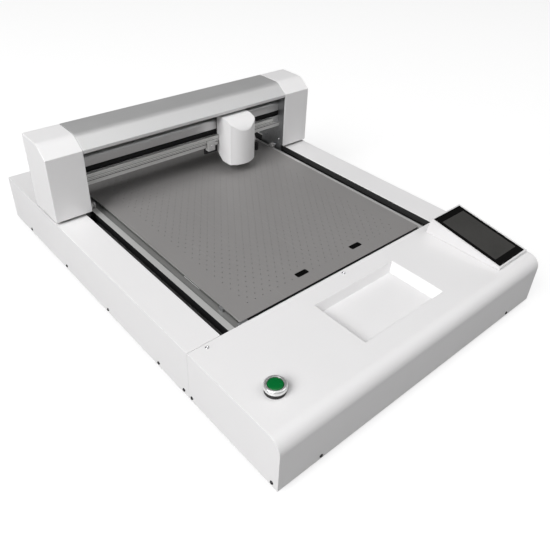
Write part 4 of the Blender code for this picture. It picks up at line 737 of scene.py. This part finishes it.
def paint_groove_shade(piece, heights, thickness, look):
    """Painted shade: dark lines along X on the front of a piece, where its grooves run."""
    mesh = bmesh.new()
    mesh.from_mesh(piece.data)
    for height in heights:
        for edge in (height - thickness / 2, height + thickness / 2):
            bmesh.ops.bisect_plane(mesh, geom=mesh.verts[:] + mesh.edges[:] + mesh.faces[:],
                                   plane_co=(0.0, 0.0, edge), plane_no=(0.0, 0.0, 1.0))
    mesh.to_mesh(piece.data)
    mesh.free()
    second_finish(piece, look, lambda face: face.normal.y < -FACES_THAT_WAY and any(
        abs(face.center.z - height) < thickness / 2 for height in heights))


rail_low, rail_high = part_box("x_rail")
beam = rounded["gantry_beam"]
# painted shade: dark strips in the grooves of the rail and on the beam below it
paint_groove_shade(rounded["x_rail"], [rail_low.z + rise for rise in RAIL_GROOVES], RAIL_GROOVE_WIDTH,
            black_oxide_and_painted_shade)
second_finish(beam, pale_extrusion,
              lambda face: face.center.z < rail_low.z and face.normal.y < -0.2)
paint_groove_shade(beam, [rail_low.z + LIP_GROOVE], LIP_GROOVE_WIDTH, black_oxide_and_painted_shade)
# painted shade: the inside of the belt slot takes the black moulding finish
second_finish(beam, black_plastic,
              lambda face: SLOT_HEIGHTS[0] < face.center.z - rail_high.z < SLOT_HEIGHTS[1]
              and SLOT_DEPTHS[0] < face.center.y - beam_low.y < SLOT_DEPTHS[1])
print("grooves scored")

# %% [markdown]
# ## Round pieces, turned again
# In the solid model a round piece is a prism with a few dozen sides. Its half outline can be
# read back from the mesh, as the edges that lie in one plane through its axis, and spun again
# in many more steps. That keeps every radius as it was, and only makes the circle finer.

# %% Spin a round piece again
SPIN_STEPS = 72
AXIS_INDEX = {"X": 0, "Y": 1, "Z": 2}
ON_PLANE = 4e-6


def half_outline(node, axis):
    """The piece's edges in the half plane through its axis, and a point on that axis."""
    along = AXIS_INDEX[axis]
    out, side = (along + 1) % 3, (along + 2) % 3
    low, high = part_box(node)
    centre = (low + high) / 2
    mesh = merged_copy(node)
    keep = [v for v in mesh.verts
            if abs(v.co[side] - centre[side]) < ON_PLANE and v.co[out] > centre[out] - ON_PLANE]
    edges = [e for e in mesh.edges if e.verts[0] in keep and e.verts[1] in keep]
    pairs = [(e.verts[0].co.copy(), e.verts[1].co.copy()) for e in edges]
    for vert in keep:
        touching = sum(vert in e.verts for e in edges)
        if touching == 1 and vert.co[out] > centre[out] + ON_PLANE:
            on_axis = centre.copy()
            on_axis[along] = vert.co[along]
            pairs.append((vert.co.copy(), on_axis))
    mesh.free()
    return pairs, centre


def respun(node, axis, width):
    pairs, centre = half_outline(node, axis)
    mesh = bmesh.new()
    for first, second in pairs:
        mesh.edges.new((mesh.verts.new(first), mesh.verts.new(second)))
    bmesh.ops.remove_doubles(mesh, verts=mesh.verts, dist=WELD_REACH)
    line = Vector((0.0, 0.0, 0.0))
    line[AXIS_INDEX[axis]] = 1.0
    bmesh.ops.spin(mesh, geom=mesh.verts[:] + mesh.edges[:], cent=centre, axis=line,
                   dvec=(0.0, 0.0, 0.0), angle=2 * math.pi, steps=SPIN_STEPS, use_merge=True)
    bmesh.ops.remove_doubles(mesh, verts=mesh.verts, dist=WELD_REACH)
    bmesh.ops.recalc_face_normals(mesh, faces=mesh.faces)
    return stand_for(soften(new_piece(node + "_turned", mesh), width, 2), node)


ROUND_PIECES = {
    "button_gasket": ("Z", 0.0003), "button_bezel": ("Z", 0.0004), "start_button": ("Z", 0.0003),
    "front_left_foot": ("Z", 0.0006), "front_right_foot": ("Z", 0.0006),
    "rear_left_foot": ("Z", 0.0006), "rear_right_foot": ("Z", 0.0006),
    "blade_holder": ("Z", 0.0003), "carriage_wheel": ("Y", 0.0005),
    "left_guide_roller": ("X", 0.0003), "right_guide_roller": ("X", 0.0003),
    "left_drive_pulley": ("X", 0.0002), "right_drive_pulley": ("X", 0.0002),
    "left_idler_pulley": ("X", 0.0002), "right_idler_pulley": ("X", 0.0002),
    "x_motor_pulley": ("Z", 0.0002), "x_idler_pulley": ("Z", 0.0002),
}
for name, (axis, width) in ROUND_PIECES.items():
    piece = respun(name, axis, width)
    low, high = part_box(name)
    print(name, "grew by", [round(1000 * (a - b), 3) for a, b in zip(piece.dimensions, high - low)])

# %% [markdown]
# ## The drilled bed
# The bed is the busiest surface of the machine: a plate with a staggered field of small
# vacuum holes. The holes are real, so that they catch light on one wall and go dark on the
# other. Cutting a thousand holes with booleans is slow, so the flat face is triangulated
# once around all the hole outlines, and the walls are then built ring by ring.

# %% Lay out the bed's outlines
HOLE_RADIUS = 0.0010
HOLE_SIDES = 12
HOLE_PITCH = 0.0153
ROW_PITCH = 0.01044
HOLE_MARGIN = 0.0358
ROW_MARGIN = 0.028
WINDOW_REACH = 0.0045
WINDOW_CORNER = 0.0024
BED_CORNER = 0.005
BED_CHAMFER = 0.0004
bed_low, bed_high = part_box("bed_plate")


def circle(centre, radius, sides):
    step = 2 * math.pi / sides
    return [Vector((centre[0] + radius * math.cos(i * step),
                    centre[1] + radius * math.sin(i * step))) for i in range(sides)]


def rounded_outline(low, high, radius, steps=4):
    """A rectangle with rounded corners, which runs anticlockwise."""
    points = []
    for quarter in range(4):
        x = high[0] - radius if quarter in (0, 3) else low[0] + radius
        y = high[1] - radius if quarter in (0, 1) else low[1] + radius
        for i in range(steps + 1):
            angle = math.pi / 2 * (quarter + i / steps)
            points.append(Vector((x + radius * math.cos(angle), y + radius * math.sin(angle))))
    return points


def plate_outline(inset):
    """The bed's outline, moved inwards."""
    shift = Vector((inset, inset, 0.0))
    return rounded_outline(bed_low + shift, bed_high - shift, BED_CORNER - inset, 6)


def window_outline(window, inset=0.0):
    low_x, low_y, high_x, high_y = window
    return rounded_outline((low_x + inset, low_y + inset), (high_x - inset, high_y - inset),
                           WINDOW_CORNER)


# %% Find the sensor windows in the solid plate
def sensor_windows():
    """Low and high corners of the plate's two openings, from the solid's inner corners."""
    inner = [v.co for v in nodes["bed_plate"].data.vertices
             if bed_low.x + 0.02 < v.co.x < bed_high.x - 0.02
             and bed_low.y + 0.01 < v.co.y < bed_high.y - 0.02]
    middle = (min(p.x for p in inner) + max(p.x for p in inner)) / 2
    found = []
    for group in ([p for p in inner if p.x < middle], [p for p in inner if p.x >= middle]):
        xs = [p.x for p in group]
        ys = [p.y for p in group]
        found.append((min(xs), min(ys), max(xs), max(ys)))
    return found


windows = sensor_windows()
print("sensor windows:", [[round(part, 4) for part in window] for window in windows])


def near_window(x, y):
    return any(low_x - WINDOW_REACH < x < high_x + WINDOW_REACH
               and low_y - WINDOW_REACH < y < high_y + WINDOW_REACH
               for low_x, low_y, high_x, high_y in windows)


# %% Place the holes
hole_centres = []
row_count = int((bed_high.y - bed_low.y - 2 * ROW_MARGIN) / ROW_PITCH) + 1
column_count = int((bed_high.x - bed_low.x - 2 * HOLE_MARGIN) / HOLE_PITCH) + 1
for row in range(row_count):
    y = bed_low.y + ROW_MARGIN + row * ROW_PITCH
    for column in range(column_count):
        x = bed_low.x + HOLE_MARGIN + (column + 0.5 * (row % 2)) * HOLE_PITCH
        if not near_window(x, y):
            hole_centres.append((x, y))
print(len(hole_centres), "vacuum holes in", row_count, "rows")


def inside(x, y, ring):
    """Whether a point lies inside a convex ring that runs anticlockwise."""
    return all((b.x - a.x) * (y - a.y) - (b.y - a.y) * (x - a.x) > 0
               for a, b in zip(ring, ring[1:] + ring[:1]))


# %% Helpers that build walls
def wall(mesh, lower, upper):
    """Faces all round between two rings of as many points."""
    for i in range(len(lower)):
        j = (i + 1) % len(lower)
        mesh.faces.new((lower[i], lower[j], upper[j], upper[i]))


def stack(mesh, rings):
    """Walls from ring to ring, closed at both ends."""
    for lower, upper in zip(rings, rings[1:]):
        wall(mesh, lower, upper)
    mesh.faces.new(rings[-1])
    mesh.faces.new(reversed(rings[0]))


# %% Build the plate around its holes
def bed_plate_piece():
    window_rings = [window_outline(window) for window in windows]
    holes = [circle(centre, HOLE_RADIUS, HOLE_SIDES) for centre in hole_centres] + window_rings
    points = []
    edges = []
    spans = []
    for ring in [plate_outline(BED_CHAMFER)] + holes:
        first = len(points)
        count = len(ring)
        points += ring
        spans.append(slice(first, first + count))
        edges += [(first + i, first + (i + 1) % count) for i in range(count)]
    made = geometry.delaunay_2d_cdt(points, edges, [], 0, 1e-7)
    flat_points, faces = made[0], made[2]
    tree = kdtree.KDTree(len(hole_centres))
    for i, centre in enumerate(hole_centres):
        tree.insert((*centre, 0.0), i)
    tree.balance()
    mesh = bmesh.new()
    tops = [mesh.verts.new((p.x, p.y, bed_high.z)) for p in flat_points]
    unders = [mesh.verts.new((p.x, p.y, bed_low.z)) for p in flat_points]
    for face in faces:
        x = sum(flat_points[i].x for i in face) / len(face)
        y = sum(flat_points[i].y for i in face) / len(face)
        in_hole = tree.find((x, y, 0.0))[2] < HOLE_RADIUS * 0.97
        if not in_hole and not any(inside(x, y, ring) for ring in window_rings):
            mesh.faces.new([tops[i] for i in face])
            mesh.faces.new([unders[i] for i in reversed(face)])
    full = plate_outline(0.0)
    shoulders = [mesh.verts.new((p.x, p.y, bed_high.z - BED_CHAMFER)) for p in full]
    skirts = [mesh.verts.new((p.x, p.y, bed_low.z + BED_CHAMFER)) for p in full]
    outer, *inner = spans
    for lower, upper in ((shoulders, tops[outer]), (skirts, shoulders), (unders[outer], skirts)):
        wall(mesh, lower, upper)
    for span in inner:
        wall(mesh, unders[span], tops[span])
    bmesh.ops.recalc_face_normals(mesh, faces=mesh.faces)
    return new_piece("drilled_bed", mesh)


drilled_bed = stand_for(bed_plate_piece(), "bed_plate")
cut_edge = layered("cut_aluminium_edge", (0.50, 0.50, 0.49), (0.25, 0.35),
                   grain=(2600.0, 0.00001), stretch=ALONG_X, patches=0.04, Metallic=0.8)
second_finish(drilled_bed, cut_edge,
              lambda face: not (bed_low.x + BED_CHAMFER < face.center.x < bed_high.x - BED_CHAMFER
                                and bed_low.y + BED_CHAMFER < face.center.y
                                < bed_high.y - BED_CHAMFER))
# painted shade: the bed's front edge face takes the black oxide finish, for the shade in the gap
# before the front cover
second_finish(drilled_bed, black_oxide_and_painted_shade,
              lambda face: face.center.y < bed_low.y + BED_CHAMFER and face.normal.y < -0.3)
print("bed has", len(drilled_bed.data.polygons), "faces")


# %% Close the sensor windows with dark glass
PANE_GAP = 0.0001
PANE_DROP = 0.0003
PANE_RISE = 0.0002


def prism(name, outline, low, high, body, look):
    """An upright block with a given outline."""
    mesh = bmesh.new()
    stack(mesh, [[mesh.verts.new((p.x, p.y, level)) for p in outline] for level in (low, high)])
    return settle(new_piece(name, mesh), body, look)


for hand, window in zip(("left", "right"), windows):
    prism(hand + "_window_pane", window_outline(window, PANE_GAP), bed_low.z + PANE_RISE,
          bed_high.z - PANE_DROP, "base", black_glass)
print("sensor windows closed")

# %% [markdown]
# ## Screws
# The covers are held by small button-head screws with a hexagonal socket. A screw head is a
# stack of rings: a flat seat, a dome, and then the same number of points moved onto a
# hexagon for the socket. All the screws of one row share a mesh.

# %% Build screw heads
SCREW_SIDES = 24


def hexagon_reach(angle, radius):
    """Distance from the middle of a hexagon to its wall in one direction."""
    sector = math.pi / 3
    return radius * math.cos(sector / 2) / math.cos((angle % sector) - sector / 2)


def add_screw(mesh, where, facing, radius=0.0028, height=0.0016):
    facing = Vector(facing)
    spin = Vector((0.0, 0.0, 1.0)).rotation_difference(facing).to_matrix()
    socket = radius * 0.45
    levels = [(radius, -0.0004, False), (radius, height * 0.25, False),
              (radius * 0.93, height * 0.62, False), (radius * 0.72, height * 0.94, False),
              (radius * 0.60, height, False), (socket, height, True),
              (socket, height * 0.35, True)]
    rings = []
    for reach, level, hexagonal in levels:
        ring = []
        for i in range(SCREW_SIDES):
            angle = 2 * math.pi * i / SCREW_SIDES
            out = hexagon_reach(angle, reach) if hexagonal else reach
            point = Vector((out * math.cos(angle), out * math.sin(angle), level))
            ring.append(mesh.verts.new(Vector(where) + spin @ point))
        rings.append(ring)
    stack(mesh, rings)


def screw_row(name, places, facing, body="base", look=None, **size):
    mesh = bmesh.new()
    for where in places:
        add_screw(mesh, where, facing, **size)
    piece = new_piece(name, mesh)
    piece.data.shade_smooth()
    piece.data.set_sharp_from_angle(angle=math.radians(40.0))
    return settle(piece, body, look or turned_steel)


# %% Drive in the screws of the body
SKIRT_SCREWS = (0.011, 0.184, 0.204, 0.272, 0.429, 0.5845, 0.741)
SKIRT_RISE = 0.0075
FRONT_SCREWS = (0.0755, 0.5265)
FRONT_RISE = 0.0065
COVER_SCREWS = (0.028, 0.299, 0.572)
COVER_SCREW_LINE = 0.183
REAR_SCREWS = (-0.225, -0.02, 0.225)
rear_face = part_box("rear_cover")[1].y
rear_rows = (body_low.z + 0.012, body_high.z - 0.014)
for hand, x, way in (("left", body_low.x, -1), ("right", body_high.x, 1)):
    places = [(x, body_low.y + along, body_low.z + SKIRT_RISE) for along in SKIRT_SCREWS]
    screw_row(hand + "_skirt_screws", places, (way, 0, 0), look=black_oxide_and_painted_shade)
screw_row("front_skirt_screws", [(body_low.x + x, body_low.y, body_low.z + FRONT_RISE)
                                 for x in FRONT_SCREWS], (0, -1, 0), look=black_oxide_and_painted_shade)
screw_row("cover_screws", [(body_low.x + x, body_low.y + COVER_SCREW_LINE, body_high.z)
                           for x in COVER_SCREWS], (0, 0, 1), radius=0.0030)
screw_row("rear_cover_screws", [(x, rear_face, z) for x in REAR_SCREWS for z in rear_rows],
          (0, 1, 0), look=black_oxide_and_painted_shade)
print("body screws in place")

# %% [markdown]
# ## Screen
# The screen is one sheet of black glass on a tilted housing. The panel behind it shows as a
# rectangle that is a little less black, so it is a thin sheet laid into the glass. Its place
# is read from the largest upward face of the glass.


# %% Lay the display panel
def largest_up_face(node):
    """Middle and unit normal of the flat top of a solid."""
    mesh = merged_copy(node)
    bmesh.ops.dissolve_limit(mesh, angle_limit=FLAT_ANGLE, verts=mesh.verts, edges=mesh.edges)
    mesh.normal_update()
    face = max((f for f in mesh.faces if f.normal.z > 0.5), key=lambda f: f.calc_area())
    found = (face.calc_center_median(), face.normal.copy())
    mesh.free()
    return found


PANEL_SIZE = (0.0635, 0.1130)
PANEL_SHEET = 0.00008
PANEL_CORNER = 0.0008


def sheet_on_slope(name, node, size, thickness, radius, look):
    """A thin sheet with rounded corners that lies on the sloping top of a solid."""
    centre, normal = largest_up_face(node)
    across = Vector((1.0, 0.0, 0.0))
    uphill = normal.cross(across)
    outline = rounded_outline((-size[0] / 2, -size[1] / 2), (size[0] / 2, size[1] / 2), radius)
    mesh = bmesh.new()
    stack(mesh, [[mesh.verts.new(centre + across * p.x + uphill * p.y + normal * level)
                  for p in outline] for level in (-thickness, thickness)])
    return settle(new_piece(name, mesh), "base", look)


sheet_on_slope("display_panel", "touch_screen", PANEL_SIZE, PANEL_SHEET, PANEL_CORNER,
               display_grey)
print("display panel is", PANEL_SIZE, "m")

# %% [markdown]
# ## Small fittings
# A few small pieces finish the machine: a clip and a corner bracket that hold the bed, two
# bright screws at the foot of each end plate, and the pins and contacts inside the
# connectors at the back. Each block gets rounded edges, and is set against the solid that
# carries it.


# %% Helper for a rounded block
def add_block(mesh, low, high):
    made = bmesh.ops.create_cube(mesh, size=1.0)
    low, high = Vector(low), Vector(high)
    size = high - low
    for vert in made["verts"]:
        vert.co = Vector(c * s for c, s in zip(vert.co, size)) + (low + high) / 2


def blocks(name, corners, width, body, look):
    mesh = bmesh.new()
    for low, high in corners:
        add_block(mesh, low, high)
    return settle(soften(new_piece(name, mesh), width, 3), body, look)


# %% Bed clip and corner bracket
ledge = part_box("left_y_rail")[1].z - 0.0045
clip_low = Vector((bed_low.x - 0.0026, body_low.y + 0.2370, ledge))
clip_high = Vector((bed_low.x - 0.0002, body_low.y + 0.2460, bed_high.z + 0.0003))
blocks("bed_clip", [(clip_low, clip_high)], 0.0004, "base", zinc)
bracket_low = Vector((bed_low.x - 0.0060, bed_low.y - 0.0050, bed_high.z - 0.006))
bracket_high = Vector((bed_low.x + 0.0110, bed_low.y - 0.0002, bed_high.z + 0.0012))
blocks("bed_corner_bracket", [(bracket_low, bracket_high)], 0.0005, "base", zinc)
print("bed fittings in place")

# %% Screws on the gantry's end plates
LEG_SCREWS = (0.016, 0.058)
LEG_SCREW_RISE = 0.012
for hand, way in (("left", 1), ("right", -1)):
    cap_low, cap_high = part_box(hand + "_gantry_cap")
    inner_x = (cap_high.x if way > 0 else cap_low.x) - way * 0.0004
    places = [(inner_x, cap_low.y + y, cap_low.z + LEG_SCREW_RISE) for y in LEG_SCREWS]
    screw_row(hand + "_end_plate_screws", places, (way, 0, 0), "gantry", radius=0.0022,
              height=0.0013)
print("end plate screws in place")

# %% Connectors at the back
inlet_low, inlet_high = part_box("power_inlet")
SOCKET_X = 0.142
PIN_SHIFTS = ((-0.007, -0.0022), (0.007, -0.0022), (0.0, 0.0028))
socket_middle = Vector((SOCKET_X, inlet_high.y, (inlet_low.z + inlet_high.z) / 2))
pins = []
for shift_x, shift_z in PIN_SHIFTS:
    middle = socket_middle + Vector((shift_x, 0.0, shift_z))
    pins.append((middle + Vector((-0.001, -0.0150, -0.002)),
                 middle + Vector((0.001, -0.0030, 0.002))))
blocks("inlet_pins", pins, 0.0003, "base", turned_steel)
port_low, port_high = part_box("data_port")
port_middle = (port_low + port_high) / 2
blocks("port_tongue", [((port_middle.x - 0.003, port_low.y + 0.002, port_middle.z - 0.0016),
                        (port_middle.x + 0.003, port_high.y - 0.0020, port_middle.z + 0.0016))],
       0.0003, "base", black_plastic)
print("connector contacts in place")

# %% [markdown]
# ## Tool
# The blade holder is clamped in its slide by a knurled collar, which is what a hand turns to
# change the knife. A knurl is a ring of narrow ridges. One screw clamps the holder from the
# front of the slide, and another holds the glide pad.

# %% Knurled collar and clamp screw
holder_low, holder_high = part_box("blade_holder")
slide_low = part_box("tool_slide")[0]
tool_axis = (holder_low + holder_high) / 2
COLLAR_RADIUS = 0.0080
COLLAR_LENGTH = 0.010
RIDGES = 36
RIDGE_DEPTH = 0.0003


def knurled_ring(name, centre, radius, low, high, ridges, depth):
    """A ring of ridges around an upright collar."""
    mesh = bmesh.new()
    rings = []
    margin = (high - low) * 0.12
    for level, scale in ((low + margin, 0.0), (low + margin * 1.6, 1.0),
                         (high - margin * 1.6, 1.0), (high - margin, 0.0)):
        ring = []
        for i in range(ridges * 4):
            angle = 2 * math.pi * i / (ridges * 4)
            crest = depth if i % 4 in (0, 1) else 0.0
            out = radius - 0.0002 + (crest + 0.0003) * scale
            ring.append(mesh.verts.new((centre.x + out * math.cos(angle),
                                        centre.y + out * math.sin(angle), level)))
        rings.append(ring)
    stack(mesh, rings)
    return new_piece(name, mesh)


collar_top = slide_low.z - 0.0003
collar = knurled_ring("holder_knurl", tool_axis, COLLAR_RADIUS, collar_top - COLLAR_LENGTH,
                      collar_top, RIDGES, RIDGE_DEPTH)
settle(collar, "tool", turned_steel)
screw_row("tool_clamp_screw", [(tool_axis.x, slide_low.y, slide_low.z + 0.010)], (0, -1, 0),
          "tool", radius=0.0026, height=0.0022)
pad_low, pad_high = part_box("glide_pad")
screw_row("glide_pad_screw", [((pad_low.x + pad_high.x) / 2, pad_low.y,
                               (pad_low.z + pad_high.z) / 2)], (0, -1, 0), "carriage",
          radius=0.0024, height=0.0012)
print("tool fittings in place")
